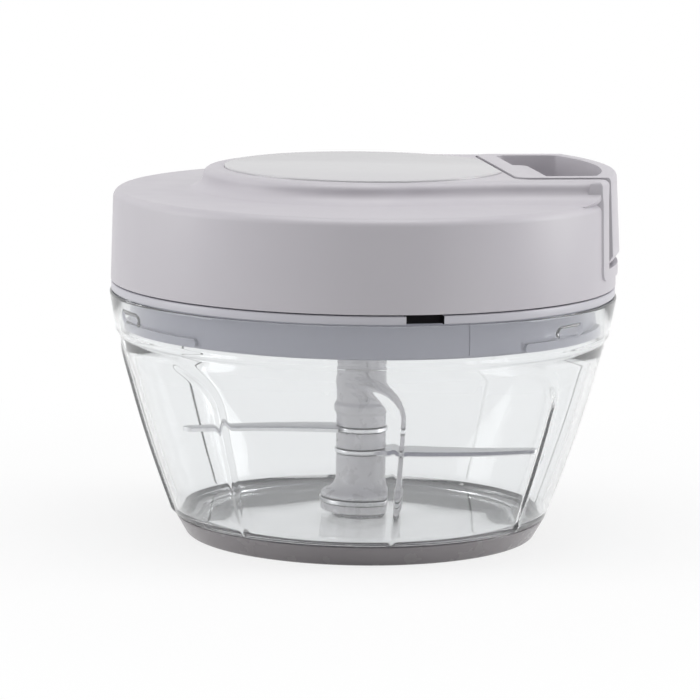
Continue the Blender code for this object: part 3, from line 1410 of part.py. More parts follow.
def blade_bmesh(root_x, bottom):
    """A swept wing with a rounded tip. The cutting edge is on its clockwise side."""
    steps = 12
    loops = []
    for step in range(steps + 1):
        share = step / steps
        x = root_x + (BLADE_LENGTH - root_x) * share
        loops.append(blade_section(x, BLADE_SWEEP * share * share, blade_half_width(share), bottom))
    for turn in (20.0, 40.0, 60.0):
        x = BLADE_LENGTH + blade_half_width(1.0) * math.sin(math.radians(turn))
        half_width = blade_half_width(1.0) * math.cos(math.radians(turn))
        loops.append(blade_section(x, BLADE_SWEEP, half_width, bottom))
    return lofted_bmesh(loops)


def make_blade(name, height, turn, hub_radius, core_radius, material):
    """A stamped wing whose ring is moulded into a groove of the hub."""
    bottom = height - BLADE_THICKNESS / 2
    top = height + BLADE_THICKNESS / 2
    root_x = (hub_radius + core_radius) / 2
    blade = link_mesh(name, blade_bmesh(root_x, bottom), material)
    ring = cylinder(f"{name}_ring", hub_radius + BLADE_RING_PROUD, bottom, top, (0.0, 0.0), 30)
    cut_with(blade, "UNION", [ring])
    core = cylinder(f"{name}_core", core_radius + FIT_GAP, bottom - CUT_OVERRUN, top + CUT_OVERRUN, (0.0, 0.0), 30)
    cut_with(blade, "DIFFERENCE", [core])
    blade.rotation_euler = (0.0, 0.0, math.radians(turn))
    return blade


def build():
    clear_scene()
    lid_plastic = make_material("lid_grey", LID_GREY, 0.45)
    plate_plastic = make_material("plate_grey", PLATE_GREY, 0.32)
    skirt_plastic = make_material("skirt_grey", SKIRT_GREY, 0.35)
    clear_plastic = make_material("clear_plastic", CLEAR_PLASTIC, 0.05, 0.0, 1.0)
    ring_rubber = make_material("ring_rubber", RING_GREY, 0.5)
    hub_plastic = make_material("hub_plastic", HUB_GREY, 0.3, 0.0, 0.3)
    steel = make_material("steel", STEEL, 0.25, 1.0)
    spring_steel = make_material("spring_steel", SPRING_STEEL, 0.35, 1.0)
    works_plastic = make_material("works_plastic", WORKS_WHITE, 0.5)
    cord_white = make_material("cord_white", CORD_WHITE, 0.8)
    bronze = make_material("bronze", BRONZE, 0.4, 1.0)

    lid_pivot = add_pivot("lid_pivot", (0.0, 0.0, FLANGE_TOP_Z - FLANGE_THICKNESS))
    reel_pivot = add_pivot("reel_pivot", (0.0, 0.0, REEL_BOTTOM_Z))
    drive_pivot = add_pivot("drive_pivot", (0.0, 0.0, HEX_TOP_Z))
    handle_pivot = add_pivot("handle_pivot", (handle_back_x(), 0.0, CORD_EXIT_Z))
    blade_pivot = add_pivot("blade_pivot", (0.0, 0.0, HUB_BOTTOM_Z))

    make_base_ring(ring_rubber)
    make_bowl(clear_plastic)
    make_centre_pin(steel)

    parent_to(make_lid_base(skirt_plastic), lid_pivot)
    parent_to(make_lid_cover(lid_plastic), lid_pivot)
    parent_to(make_top_plate(plate_plastic), lid_pivot)
    parent_to(make_cord_guide(works_plastic), lid_pivot)
    parent_to(make_drive_bush(bronze), lid_pivot)
    parent_to(make_reel_axle(steel), lid_pivot)
    for index, centre in enumerate(screw_centres()):
        parent_to(make_screw(f"lid_screw_{index + 1}", centre, steel), lid_pivot)

    parent_to(make_cord_reel(works_plastic), reel_pivot)
    parent_to(make_cord_winding(cord_white), reel_pivot)
    parent_to(make_power_spring(spring_steel), reel_pivot)
    parent_to(make_spring_cover(works_plastic), reel_pivot)
    for index, (centre, turn) in enumerate(zip(pawl_centres(), pawl_angles())):
        parent_to(make_pawl(f"clutch_pawl_{index + 1}", centre, turn, works_plastic), reel_pivot)

    parent_to(make_drive_shaft(works_plastic), drive_pivot)
    parent_to(make_ratchet_wheel(works_plastic), drive_pivot)

    parent_to(make_pull_handle(lid_plastic), handle_pivot)
    parent_to(make_cord_run(cord_white), handle_pivot)
    parent_to(make_cord_knot(cord_white), handle_pivot)

    parent_to(make_blade_hub(hub_plastic), blade_pivot)
    blades = (
        ("upper_blade", UPPER_BLADE_Z, UPPER_BLADE_ANGLE, HUB_RADIUS, BLADE_GROOVE_RADIUS),
        ("middle_blade", MIDDLE_BLADE_Z, MIDDLE_BLADE_ANGLE, HUB_RADIUS, BLADE_GROOVE_RADIUS),
        ("lower_blade", LOWER_BLADE_Z, LOWER_BLADE_ANGLE, HUB_BELL_RADIUS, BELL_GROOVE_RADIUS),
    )
    for name, height, turn, hub_radius, core_radius in blades:
        parent_to(make_blade(name, height, turn, hub_radius, core_radius, steel), blade_pivot)


build()
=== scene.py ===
# %% [markdown]
# # A pull-cord food chopper
#
# This file dresses a food chopper: a clear ribbed bowl, a blade unit that stands on a pin, and a round
# lid with a reel inside and a pull handle in its top. The rigid model already exists, so it is loaded as
# a fixed frame. Every piece made here sits on the place that the frame gives.
# %% Load the frame
from math import acos, asin, atan2, cos, degrees, hypot, pi, radians, sin, sqrt, tau

import bpy
from mathutils import Matrix, Vector


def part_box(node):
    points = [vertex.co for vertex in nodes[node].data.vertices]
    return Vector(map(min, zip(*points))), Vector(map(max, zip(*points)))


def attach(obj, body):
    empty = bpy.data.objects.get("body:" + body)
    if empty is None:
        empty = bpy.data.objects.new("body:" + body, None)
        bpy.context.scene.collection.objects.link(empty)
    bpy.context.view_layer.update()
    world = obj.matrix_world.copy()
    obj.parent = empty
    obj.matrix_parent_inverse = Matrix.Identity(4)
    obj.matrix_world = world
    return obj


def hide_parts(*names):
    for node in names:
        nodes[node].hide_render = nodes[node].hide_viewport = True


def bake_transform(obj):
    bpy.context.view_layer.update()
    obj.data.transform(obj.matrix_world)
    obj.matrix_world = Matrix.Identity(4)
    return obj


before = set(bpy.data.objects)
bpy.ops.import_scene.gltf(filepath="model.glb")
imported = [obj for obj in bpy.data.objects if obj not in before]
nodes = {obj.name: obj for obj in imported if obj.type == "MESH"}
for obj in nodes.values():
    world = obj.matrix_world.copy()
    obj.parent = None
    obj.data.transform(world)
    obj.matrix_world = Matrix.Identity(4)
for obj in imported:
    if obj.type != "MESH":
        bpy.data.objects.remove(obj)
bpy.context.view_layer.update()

print("nodes in the frame:", len(nodes))

# %% [markdown]
# ## Camera
#
# The photograph was taken from far away with a long lens, a little above the lid's seam. A long lens keeps
# the left and right walls of the bowl almost parallel to the line of sight. The camera looks at the middle
# of the seam and is shifted, not tilted, to put the chopper where the photograph has it.
# %% Camera
seam_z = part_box("bowl")[1][2]
seam_middle = Vector((0.0, 0.0, seam_z + 0.0027))
camera_distance = 0.97
camera_turn = radians(-9.0)
camera_rise = radians(7.7)
camera_roll = radians(0.8)

bpy.ops.object.camera_add()
camera = bpy.context.object
camera.name = "camera"
back = Vector((sin(camera_turn) * cos(camera_rise), -cos(camera_turn) * cos(camera_rise), sin(camera_rise)))
camera.location = seam_middle + back * camera_distance
camera.rotation_euler = back.to_track_quat("Z", "Y").to_euler()
camera.rotation_euler.rotate_axis("Z", camera_roll)
camera.data.lens = 194.8
camera.data.sensor_width = 36.0
camera.data.shift_x = -0.0189
camera.data.shift_y = -0.1011
bpy.context.scene.camera = camera
print("camera at", [round(value, 3) for value in camera.location])

# %% [markdown]
# ## Stage and light
#
# A product photograph on white needs a floor that is pale and still takes a soft shadow. The floor is a
# plain matt plane, and a part of its brightness is its own glow, seen by the camera and by gloss and glass
# but not added to the light on the object. The glow is weaker near the chopper, so its shadow stays. Two
# tall lamps stand left and right, so a round wall is light at both edges and darker in the middle. A wide
# lamp above lights the top.
# %% Stage


def mix_with_glow(tree, matt, glow, output, share=None):
    """Show the glow to rays from the camera, from gloss and through glass, and the matt side to the rest."""
    path = tree.nodes.new("ShaderNodeLightPath").outputs
    seen = path["Is Camera Ray"]
    steps = [("ADD", path["Is Glossy Ray"]), ("ADD", path["Is Transmission Ray"])]
    if share is not None:
        steps.append(("MULTIPLY", share))
    for operation, value in steps:
        change = tree.nodes.new("ShaderNodeMath")
        change.operation = operation
        change.use_clamp = True
        tree.links.new(seen, change.inputs[0])
        tree.links.new(value, change.inputs[1])
        seen = change.outputs[0]
    blend = tree.nodes.new("ShaderNodeMixShader")
    for source, socket in zip((seen, matt.outputs[0], glow.outputs[0]), blend.inputs):
        tree.links.new(source, socket)
    tree.links.new(blend.outputs[0], tree.nodes[output].inputs["Surface"])


floor_paper = bpy.data.materials.new("floor_paper")
floor_paper.use_nodes = True
tree = floor_paper.node_tree
paper = tree.nodes["Principled BSDF"]
paper.inputs["Base Color"].default_value = (0.9, 0.9, 0.9, 1.0)
paper.inputs["Roughness"].default_value = 0.9
floor_glow = tree.nodes.new("ShaderNodeEmission")
floor_glow.inputs["Strength"].default_value = 1.0
place = tree.nodes.new("ShaderNodeTexCoord")
distance = tree.nodes.new("ShaderNodeVectorMath")
distance.operation = "LENGTH"
fade = tree.nodes.new("ShaderNodeMapRange")
fade.interpolation_type = "SMOOTHSTEP"
for socket, value in (("From Min", 0.05), ("From Max", 0.22), ("To Min", 0.80), ("To Max", 1.0)):
    fade.inputs[socket].default_value = value
tree.links.new(place.outputs["Object"], distance.inputs[0])
tree.links.new(distance.outputs["Value"], fade.inputs["Value"])
mix_with_glow(tree, paper, floor_glow, "Material Output", fade.outputs["Result"])

bpy.ops.object.select_all(action="DESELECT")
bpy.ops.mesh.primitive_plane_add(size=6.0, location=(0.0, 0.0, 0.0))
floor = bpy.context.object
floor.name = "floor"
floor.data.materials.append(floor_paper)

world = bpy.data.worlds.new("studio")
bpy.context.scene.world = world
world.use_nodes = True
tree = world.node_tree
room_light = tree.nodes["Background"]
room_light.inputs["Color"].default_value = (0.96, 0.98, 1.0, 1.0)
room_light.inputs["Strength"].default_value = 0.22
white_wall = tree.nodes.new("ShaderNodeBackground")
white_wall.inputs["Strength"].default_value = 1.0
mix_with_glow(tree, room_light, white_wall, "World Output")
print("floor", floor.dimensions.x, "m wide, room light", room_light.inputs["Strength"].default_value)

# %% Lamps


def lamp(name, place, width, height, power):
    """A rectangular lamp that points at the middle of the chopper."""
    bpy.ops.object.light_add(type="AREA", location=place)
    made = bpy.context.object
    made.name = name
    made.data.shape = "RECTANGLE"
    made.data.size = width
    made.data.size_y = height
    made.data.energy = power
    direction = Vector(place) - Vector((0.0, 0.0, 0.05))
    made.rotation_euler = direction.to_track_quat("Z", "Y").to_euler()
    print(name, "of", power, "W at", place)


lamp("left_lamp", (-0.95, 0.02, 0.32), 0.5, 0.8, 4.2)
lamp("right_lamp", (0.95, -0.10, 0.32), 0.4, 0.8, 5.2)
lamp("top_lamp", (0.0, -0.12, 1.1), 0.9, 0.7, 7.0)

bpy.context.scene.view_settings.view_transform = "Standard"

# %% [markdown]
# ## Helpers for finishes
#
# Moulded plastic is never quite even. Its gloss wanders a little, and close up it has a fine grain from
# the mould. Both come from noise on Object coordinates, in metres, so the grain keeps its real size.
# Each helper takes the shader and adds its nodes to the shader's own tree.
# %% Finish helpers


def new_finish(name, colour, roughness, metallic=0.0):
    """A material with its fixed values on the shader's own sockets."""
    finish = bpy.data.materials.new(name)
    finish.use_nodes = True
    shader = finish.node_tree.nodes["Principled BSDF"]
    shader.inputs["Base Color"].default_value = (*colour, 1.0)
    shader.inputs["Roughness"].default_value = roughness
    shader.inputs["Metallic"].default_value = metallic
    return finish, shader


def noise(shader, scale, detail=2.0, stretch=(1.0, 1.0, 1.0), turn=0.0):
    """Noise in real size: scale is the number of blobs in a metre, and stretch draws the blobs out."""
    tree = shader.id_data
    place = tree.nodes.new("ShaderNodeTexCoord")
    mapping = tree.nodes.new("ShaderNodeMapping")
    mapping.vector_type = "TEXTURE"
    mapping.inputs["Scale"].default_value = stretch
    mapping.inputs["Rotation"].default_value = (0.0, 0.0, turn)
    pattern = tree.nodes.new("ShaderNodeTexNoise")
    pattern.inputs["Scale"].default_value = scale
    pattern.inputs["Detail"].default_value = detail
    tree.links.new(place.outputs["Object"], mapping.inputs["Vector"])
    tree.links.new(mapping.outputs["Vector"], pattern.inputs["Vector"])
    return pattern.outputs["Fac"]


def vary_gloss(shader, value, low, high):
    """Let a pattern move the roughness between two values."""
    tree = shader.id_data
    ranged = tree.nodes.new("ShaderNodeMapRange")
    for socket, limit in (("From Min", 0.3), ("From Max", 0.7), ("To Min", low), ("To Max", high)):
        ranged.inputs[socket].default_value = limit
    tree.links.new(value, ranged.inputs["Value"])
    tree.links.new(ranged.outputs["Result"], shader.inputs["Roughness"])


def vary_colour(shader, value, low, high):
    """Let a pattern move the colour between two colours."""
    tree = shader.id_data
    ramp = tree.nodes.new("ShaderNodeValToRGB")
    for element, position, colour in zip(ramp.color_ramp.elements, (0.35, 0.65), (low, high)):
        element.position = position
        element.color = (*colour, 1.0)
    tree.links.new(value, ramp.inputs["Fac"])
    tree.links.new(ramp.outputs["Color"], shader.inputs["Base Color"])


def relief(shader, height, depth):
    """A bump of a real depth, in metres."""
    tree = shader.id_data
    bump = tree.nodes.new("ShaderNodeBump")
    bump.inputs["Strength"].default_value = 1.0
    bump.inputs["Distance"].default_value = depth
    tree.links.new(height, bump.inputs["Height"])
    tree.links.new(bump.outputs["Normal"], shader.inputs["Normal"])


def moulded(name, dark, light, roughness, grain_depth, gloss_change=0.035):
    """Moulded plastic: a faint drift of colour and gloss, and the mould's grain."""
    finish, shader = new_finish(name, light, roughness)
    vary_colour(shader, noise(shader, 25.0), dark, light)
    vary_gloss(shader, noise(shader, 160.0, 3.0), roughness - gloss_change, roughness + gloss_change)
    relief(shader, noise(shader, 2600.0, 1.0), grain_depth)
    print(name, "has roughness", roughness)
    return finish


# %% [markdown]
# ## Plastics
#
# The lid is a satin grey, with a cool hint of violet in its shade. The inlay plate has the same colour
# with more gloss, and the flange under the lid is cooler. The skirt in the bowl is smoother, and its
# colour is darker than the flange's, though both are one moulding: the darker colour is painted shade,
# for the shade it is in behind the bowl's wall. The works inside the lid are of plain white acetal. Each
# is the moulded finish above with values of its own. The hub is milky, so it lets a little light through.
# %% Plastics
lid_satin = moulded("lid_satin", (0.565, 0.540, 0.578), (0.588, 0.565, 0.598), 0.43, 0.000003)
plate_gloss = moulded("plate_gloss", (0.615, 0.605, 0.622), (0.632, 0.622, 0.636), 0.22, 0.0000001, 0.006)
flange_satin = moulded("flange_satin", (0.57, 0.56, 0.605), (0.59, 0.58, 0.625), 0.36, 0.000002)
# The skirt's colour is darker than the flange's as painted shade, for the shade behind the bowl's wall.
skirt_painted_shade = moulded("skirt_painted_shade", (0.40, 0.40, 0.465), (0.415, 0.415, 0.48), 0.30, 0.0000005, 0.01)
works_acetal = moulded("works_acetal", (0.74, 0.735, 0.71), (0.79, 0.785, 0.76), 0.42, 0.000003)
ring_soft = moulded("ring_soft", (0.275, 0.255, 0.265), (0.31, 0.29, 0.30), 0.26, 0.000002)
# Near black painted shade for the inside of the windows, where only shade is seen, with little gloss.
window_painted_shade = moulded("window_painted_shade", (0.004, 0.003, 0.005), (0.007, 0.006, 0.008), 0.6, 0.000003)
window_painted_shade.node_tree.nodes["Principled BSDF"].inputs["Specular IOR Level"].default_value = 0.1

hub_frosted, shader = new_finish("hub_frosted", (0.80, 0.785, 0.80), 0.26)
vary_colour(shader, noise(shader, 60.0), (0.785, 0.77, 0.79), (0.815, 0.80, 0.815))
vary_gloss(shader, noise(shader, 300.0, 3.0), 0.26, 0.30)
shader.inputs["Transmission Weight"].default_value = 0.10
shader.inputs["IOR"].default_value = 1.49
relief(shader, noise(shader, 1800.0, 1.0), 0.0000006)

# %% [markdown]
# ## Clear plastic
#
# The bowl is clear styrene plastic. It is given transmission, a very faint waviness, because a moulded
# wall is never optically flat, and an index of refraction a little below the real one: the bowl stands
# alone on white here, and a weaker bend keeps its ribs and edges as light as the photograph has them.
# %% Clear plastic
bowl_clear, shader = new_finish("bowl_clear", (0.955, 0.965, 0.97), 0.02)
shader.inputs["Transmission Weight"].default_value = 0.95
shader.inputs["IOR"].default_value = 1.33
vary_gloss(shader, noise(shader, 90.0, 3.0), 0.012, 0.04)
relief(shader, noise(shader, 45.0, 1.0), 0.00005)
print("clear plastic bends light by", round(shader.inputs["IOR"].default_value, 2))

# %% [markdown]
# ## Metals and cord
#
# The blades are stamped and polished along their length, so fine lines run along them. The pins and
# screws are plain bright steel. The cord is a white braid.
# %% Metals and cord


def brushed(name, dark, light, roughness, stretch, turn=0.0):
    """Metal with fine polishing lines along one direction."""
    finish, shader = new_finish(name, light, roughness, 1.0)
    lines = noise(shader, 3000.0, 3.0, stretch, turn)
    vary_colour(shader, lines, dark, light)
    vary_gloss(shader, lines, roughness - 0.05, roughness + 0.07)
    relief(shader, lines, 0.0000006)
    return finish


pin_steel = brushed("pin_steel", (0.55, 0.55, 0.56), (0.68, 0.68, 0.69), 0.24, (1.0, 1.0, 20.0))
strip_steel = brushed("strip_steel", (0.22, 0.23, 0.26), (0.33, 0.34, 0.38), 0.32, (20.0, 20.0, 1.0))
bush_bronze = brushed("bush_bronze", (0.40, 0.27, 0.13), (0.55, 0.38, 0.20), 0.38, (1.0, 1.0, 1.0))

cord_braid, shader = new_finish("cord_braid", (0.80, 0.80, 0.78), 0.75)
tree = shader.id_data
place = tree.nodes.new("ShaderNodeTexCoord")
strands = tree.nodes.new("ShaderNodeTexVoronoi")
strands.inputs["Scale"].default_value = 1500.0
tree.links.new(place.outputs["Object"], strands.inputs["Vector"])
vary_colour(shader, strands.outputs["Distance"], (0.84, 0.84, 0.82), (0.60, 0.60, 0.58))
relief(shader, noise(shader, 2500.0, 2.0), 0.00008)


def dress(finish, *names):
    """Give CAD nodes their finish."""
    for name in names:
        for slot in nodes[name].material_slots:
            slot.material = finish
    print(finish.name, "on", *names)


dress(pin_steel, "centre_pin", "reel_axle", "lid_screw_1", "lid_screw_2", "lid_screw_3", "lid_screw_4")
dress(works_acetal, "cord_guide", "cord_reel", "spring_cover", "clutch_pawl_1", "clutch_pawl_2")
dress(works_acetal, "drive_shaft", "ratchet_wheel")
dress(strip_steel, "recoil_spring")
dress(bush_bronze, "drive_bush")

# %% [markdown]
# ## Helpers for shapes
#
# Nearly every piece of this chopper is round, so most of them start as a line of edges in the plane of
# radius and height. The line is drawn from one vertex by extruding it from corner to corner. A corner is
# then rounded with a vertex bevel, and the line is spun round the Z axis. Every helper deselects all
# before it adds a primitive, because an operator acts on everything that is selected.
# %% Draw, round and spin
same_place = 2e-6
axis_z = {"center": (0.0, 0.0, 0.0), "axis": (0.0, 0.0, 1.0)}


def edit_all():
    """Enter edit mode with everything selected."""
    bpy.ops.object.mode_set(mode="EDIT")
    bpy.ops.mesh.select_all(action="SELECT")


def object_mode():
    """Leave edit mode."""
    bpy.ops.object.mode_set(mode="OBJECT")


def extrude(*step):
    """Extrude what is selected by a step in x, y and z."""
    bpy.ops.mesh.extrude_region_move(TRANSFORM_OT_translate={"value": step})


def pick_vertices(piece, wanted):
    """Select the vertices whose place answers a question, and nothing else."""
    bpy.ops.object.mode_set(mode="EDIT")
    bpy.ops.mesh.select_mode(type="VERT")
    bpy.ops.mesh.select_all(action="DESELECT")
    object_mode()
    for vertex in piece.data.vertices:
        vertex.select = bool(wanted(vertex.co))
    bpy.ops.object.mode_set(mode="EDIT")


def bevel_edges(piece, offset, segments, wanted):
    """Round the edges between the vertices whose place answers a question."""
    pick_vertices(piece, wanted)
    bpy.ops.mesh.bevel(offset=offset, segments=segments, affect="EDGES")
    object_mode()


def draw_line(name, corners, closed=True):
    """Draw corners of (radius, height) as a line of edges, then round those that also give a rounding."""
    bpy.ops.object.select_all(action="DESELECT")
    bpy.ops.mesh.primitive_plane_add(size=0.001, location=(0.0, 0.0, 0.0))
    piece = bpy.context.object
    piece.name = name
    piece.data.name = name
    bpy.ops.object.mode_set(mode="EDIT")
    bpy.ops.mesh.select_mode(type="VERT")
    bpy.ops.mesh.select_all(action="SELECT")
    bpy.ops.mesh.merge(type="CENTER")
    bpy.ops.transform.translate(value=(corners[0][0], 0.0, corners[0][1]))
    for before, after in zip(corners, corners[1:]):
        extrude(after[0] - before[0], 0.0, after[1] - before[1])
    if closed:
        first, last = (Vector((point[0], 0.0, point[1])) for point in (corners[0], corners[-1]))
        pick_vertices(piece, lambda place: min((place - first).length, (place - last).length) < same_place)
        bpy.ops.mesh.edge_face_add()
    for radius, height, *rounding in corners:
        if rounding:
            corner = Vector((radius, 0.0, height))
            pick_vertices(piece, lambda place: (place - corner).length < same_place)
            segments = 8 if rounding[0] > 0.0012 else 4
            bpy.ops.mesh.bevel(offset=rounding[0], segments=segments, affect="VERTICES", clamp_overlap=True)
    object_mode()
    return piece


def tidy_faces(piece, smooth_angle=28.0):
    """Merge doubles, turn the faces outwards, and smooth all but the sharp edges."""
    edit_all()
    bpy.ops.mesh.remove_doubles(threshold=1e-6)
    bpy.ops.mesh.delete_loose()
    bpy.ops.mesh.select_all(action="SELECT")
    bpy.ops.mesh.normals_make_consistent(inside=False)
    object_mode()
    bpy.ops.object.shade_smooth_by_angle(angle=radians(smooth_angle))


def spin_round(piece, steps, smooth_angle=28.0):
    """Spin a drawn line through an eighth of a turn and double that three times, which is quick."""
    edit_all()
    bpy.ops.mesh.spin(steps=steps // 8, angle=tau / 8, **axis_z)
    for part in (8, 4, 2):
        bpy.ops.mesh.select_all(action="SELECT")
        bpy.ops.mesh.duplicate()
        bpy.ops.transform.rotate(value=tau / part, orient_axis="Z", center_override=(0.0, 0.0, 0.0))
    object_mode()
    tidy_faces(piece, smooth_angle)
    return piece


# %% Combine and finish


def choose(piece):
    """Make one object the selected and active one."""
    bpy.ops.object.select_all(action="DESELECT")
    piece.select_set(True)
    bpy.context.view_layer.objects.active = piece


def modify(piece, kind, **settings):
    """Add a modifier with its settings, and apply it."""
    choose(piece)
    bpy.ops.object.modifier_add(type=kind)
    modifier = piece.modifiers[-1]
    for setting, value in settings.items():
        setattr(modifier, setting, value)
    bpy.ops.object.modifier_apply(modifier=modifier.name)


def combine(piece, tool, operation):
    """Apply a Boolean with a second mesh, and remove that mesh."""
    modify(piece, "BOOLEAN", operation=operation, solver="EXACT", object=tool)
    bpy.data.objects.remove(tool)


def cut(piece, tool):
    """Take one mesh away from another."""
    combine(piece, tool, "DIFFERENCE")


def join(piece, tool):
    """Make one skin of two meshes."""
    combine(piece, tool, "UNION")


def turn_mesh(piece, angle, axis="Z"):
    """Turn the mesh itself, so that the object stays unturned."""
    piece.data.transform(Matrix.Rotation(angle, 4, axis))


def face_along_x(piece, x):
    """Turn a drawn section so that it faces along X, move it there and fill it, ready to extrude."""
    piece.data.transform(Matrix.Translation((x, 0.0, 0.0)) @ Matrix.Rotation(radians(90.0), 4, "Z"))
    choose(piece)
    edit_all()
    bpy.ops.mesh.edge_face_add()


def wear(piece, *finishes):
    """Give a piece its finish, and further ones for single faces."""
    piece.data.materials.clear()
    for finish in finishes:
        piece.data.materials.append(finish)


def stand_in(piece, body, slot, *replaced):
    """Say which body a finished piece rides on and which nodes it replaces. The slot, a name for its finish,
    is not used.
    """
    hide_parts(*replaced)
    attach(piece, body)
    print(piece.name, "faces:", len(piece.data.polygons))


# %% [markdown]
# ## Bowl
#
# The real bowl is injection moulded in one shot: a thin wall that leans outwards, a step up to a collar
# that holds the lid's skirt, eight ribs that climb the wall and arch over at their tops, and three small
# lugs inside the collar. Ribs could be made as separate bars and joined, but in clear plastic every
# seam would show. So the wall is spun as one closed skin with many small faces, and ribs and lugs are
# raised from it: each vertex gets a weight by its distance from a rib's path, and a Displace modifier
# pushes it outwards by that weight.
# %% Bowl: sizes
underside_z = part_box("bowl")[0][2]
rim_radius = 0.0649
rim_z = seam_z
collar_foot_radius = 0.0631
collar_foot_z = rim_z - 0.0104
shoulder_radius = 0.0622
shoulder_z = rim_z - 0.0112
foot_radius = 0.0478
foot_z = 0.0055
wall_bulge = 0.0009
wall_thickness = 0.0022
collar_wall = 0.0015
floor_z = 0.0052
floor_fillet = 0.0040
floor_inside_z = floor_z + floor_fillet
boss_top_z = floor_z + 0.0046
recess_z = underside_z + 0.0012
plug_radius = 0.0451
wall_rows = 78
bowl_steps = 560


def wall_radius(height):
    """The outer wall: a slight outward bulge between foot and shoulder."""
    share = (height - foot_z) / (shoulder_z - foot_z)
    return foot_radius + (shoulder_radius - foot_radius) * share + 4 * wall_bulge * share * (1 - share)


print("bowl rim at", round(rim_z, 4), "m, wall from", foot_radius, "to", shoulder_radius)

# %% Bowl: line
bowl_corners = [
    (rim_radius - collar_wall, rim_z, 0.0004),
    (rim_radius, rim_z, 0.0006),
    (collar_foot_radius, collar_foot_z, 0.0008),
]
for row in range(wall_rows + 1):
    height = shoulder_z + (foot_z - shoulder_z) * row / wall_rows
    bowl_corners.append((wall_radius(height), height))
bowl_corners += [
    (plug_radius, foot_z),
    (plug_radius, underside_z, 0.0004),
    (0.0417, underside_z, 0.0003),
    (0.0405, recess_z, 0.0003),
    (0.0, recess_z),
    (0.0, boss_top_z),
    (0.0040, boss_top_z, 0.0004),
    (0.0056, floor_z + 0.0012, 0.0006),
    (0.0073, floor_z, 0.0008),
]
fillet_radius = wall_radius(floor_inside_z) - wall_thickness
for turn in range(0, 91, 15):
    across = floor_fillet * (1 - sin(radians(turn)))
    up = floor_fillet * (1 - cos(radians(turn)))
    bowl_corners.append((fillet_radius - across, floor_z + up))
for row in range(1, 13):
    height = floor_z + floor_fillet + (shoulder_z - floor_z - floor_fillet) * row / 12
    bowl_corners.append((wall_radius(height) - wall_thickness, height))
collar_rows = 26
bore_foot_z = collar_foot_z + 0.0011
bore_lean = (rim_radius - collar_foot_radius) / (rim_z - collar_foot_z)
for row in range(collar_rows):
    height = bore_foot_z + (rim_z - bore_foot_z) * row / collar_rows
    radius = collar_foot_radius - collar_wall + bore_lean * (height - collar_foot_z)
    bowl_corners.append((radius, height))
bowl = draw_line("clear_bowl", bowl_corners)
spin_round(bowl, bowl_steps, 40.0)
print("bowl skin:", len(bowl.data.vertices), "vertices")

# %% Bowl: ribs and lugs
rib_pitch = tau / 8
rib_top_z = shoulder_z - 0.0023
rib_arch_height = 0.0105
rib_arch_turn = radians(15.0)
rib_height = 0.0006
rib_foot_half = 0.0014
rib_widening = 0.0006
widening_height = 0.030
arch_fade = 0.55
lug_pitch = tau / 3
lug_angle = radians(-45.0)
lug_arc = radians(9.0)
lug_z = 0.0571
lug_height = 0.0024
lug_reach = 0.0007
lug_flank = 0.0006


def clamp(value):
    """Keep a value between 0 and 1."""
    return min(max(value, 0.0), 1.0)


def ease(share):
    """Start and end a change from 0 to 1 softly."""
    return share * share * (3 - 2 * share)


# A rib's path, unrolled on the wall: straight up and then over in a quarter of an ellipse.
rib_route = [(0.0, foot_z + 0.0012)]
for step in range(13):
    angle = radians(90.0 * step / 12)
    rib_route.append((-rib_arch_turn * (1 - cos(angle)), rib_top_z - rib_arch_height * (1 - sin(angle))))
rib_path = [Vector((turn * wall_radius(height), height)) for turn, height in rib_route]


def rib_share(place):
    """How far a vertex of the wall is raised, from 0 to 1. The arch fades out towards its end."""
    turn = atan2(place.y, place.x) + pi / 2
    local = (turn + rib_pitch * 0.7) % rib_pitch - rib_pitch * 0.7
    if local > 0.05:
        return 0.0
    here = Vector((local * wall_radius(place.z), place.z))
    nearest = 1.0
    for start, end in zip(rib_path, rib_path[1:]):
        share = clamp((here - start).dot(end - start) / (end - start).length_squared)
        nearest = min(nearest, (here - start.lerp(end, share)).length)
    half = rib_foot_half + rib_widening * min((place.z - foot_z) / widening_height, 1.0)
    return ease(clamp((half - nearest) / half)) * ease(clamp((local / rib_arch_turn + 1.0) / arch_fade))


def lug_share(place):
    """How far a vertex of the collar's bore is raised for a lug, from 0 to 1, with soft sides."""
    turn = (atan2(place.y, place.x) - lug_angle + lug_pitch / 2) % lug_pitch - lug_pitch / 2
    across = abs(turn) * place.xy.length - (lug_arc / 2 * place.xy.length - lug_height / 2)
    beyond = hypot(max(across, 0.0), place.z - (lug_z + lug_height / 2))
    return ease(clamp((lug_height / 2 + 0.0004 - beyond) / lug_flank))


def raise_skin(piece, name, weights, height):
    """Push vertices along their normals by a weight, with a vertex group and a Displace modifier."""
    group = piece.vertex_groups.new(name=name)
    for index, weight in weights.items():
        group.add([index], weight, "REPLACE")
    modify(piece, "DISPLACE", direction="NORMAL", mid_level=0.0, strength=height, vertex_group=name)
    print(name, "raised", len(weights), "vertices by up to", round(height * 1000, 2), "mm")


rib_weights = {}
lug_weights = {}
for vertex in bowl.data.vertices:
    place = vertex.co
    if foot_z < place.z < shoulder_z - 0.0005 and place.xy.length > wall_radius(place.z) - 0.0004:
        if rib_share(place) > 0.0:
            rib_weights[vertex.index] = rib_share(place)
    in_bore = lug_z - 0.001 < place.z < lug_z + 0.0035 and place.xy.length < rim_radius - collar_wall
    if in_bore and place.z < rim_z - 0.001 and lug_share(place) > 0.0:
        lug_weights[vertex.index] = lug_share(place)
raise_skin(bowl, "ribs", rib_weights, rib_height)
raise_skin(bowl, "lugs", lug_weights, lug_reach)
wear(bowl, bowl_clear)
stand_in(bowl, "bowl_unit", "clear_plastic", "bowl")

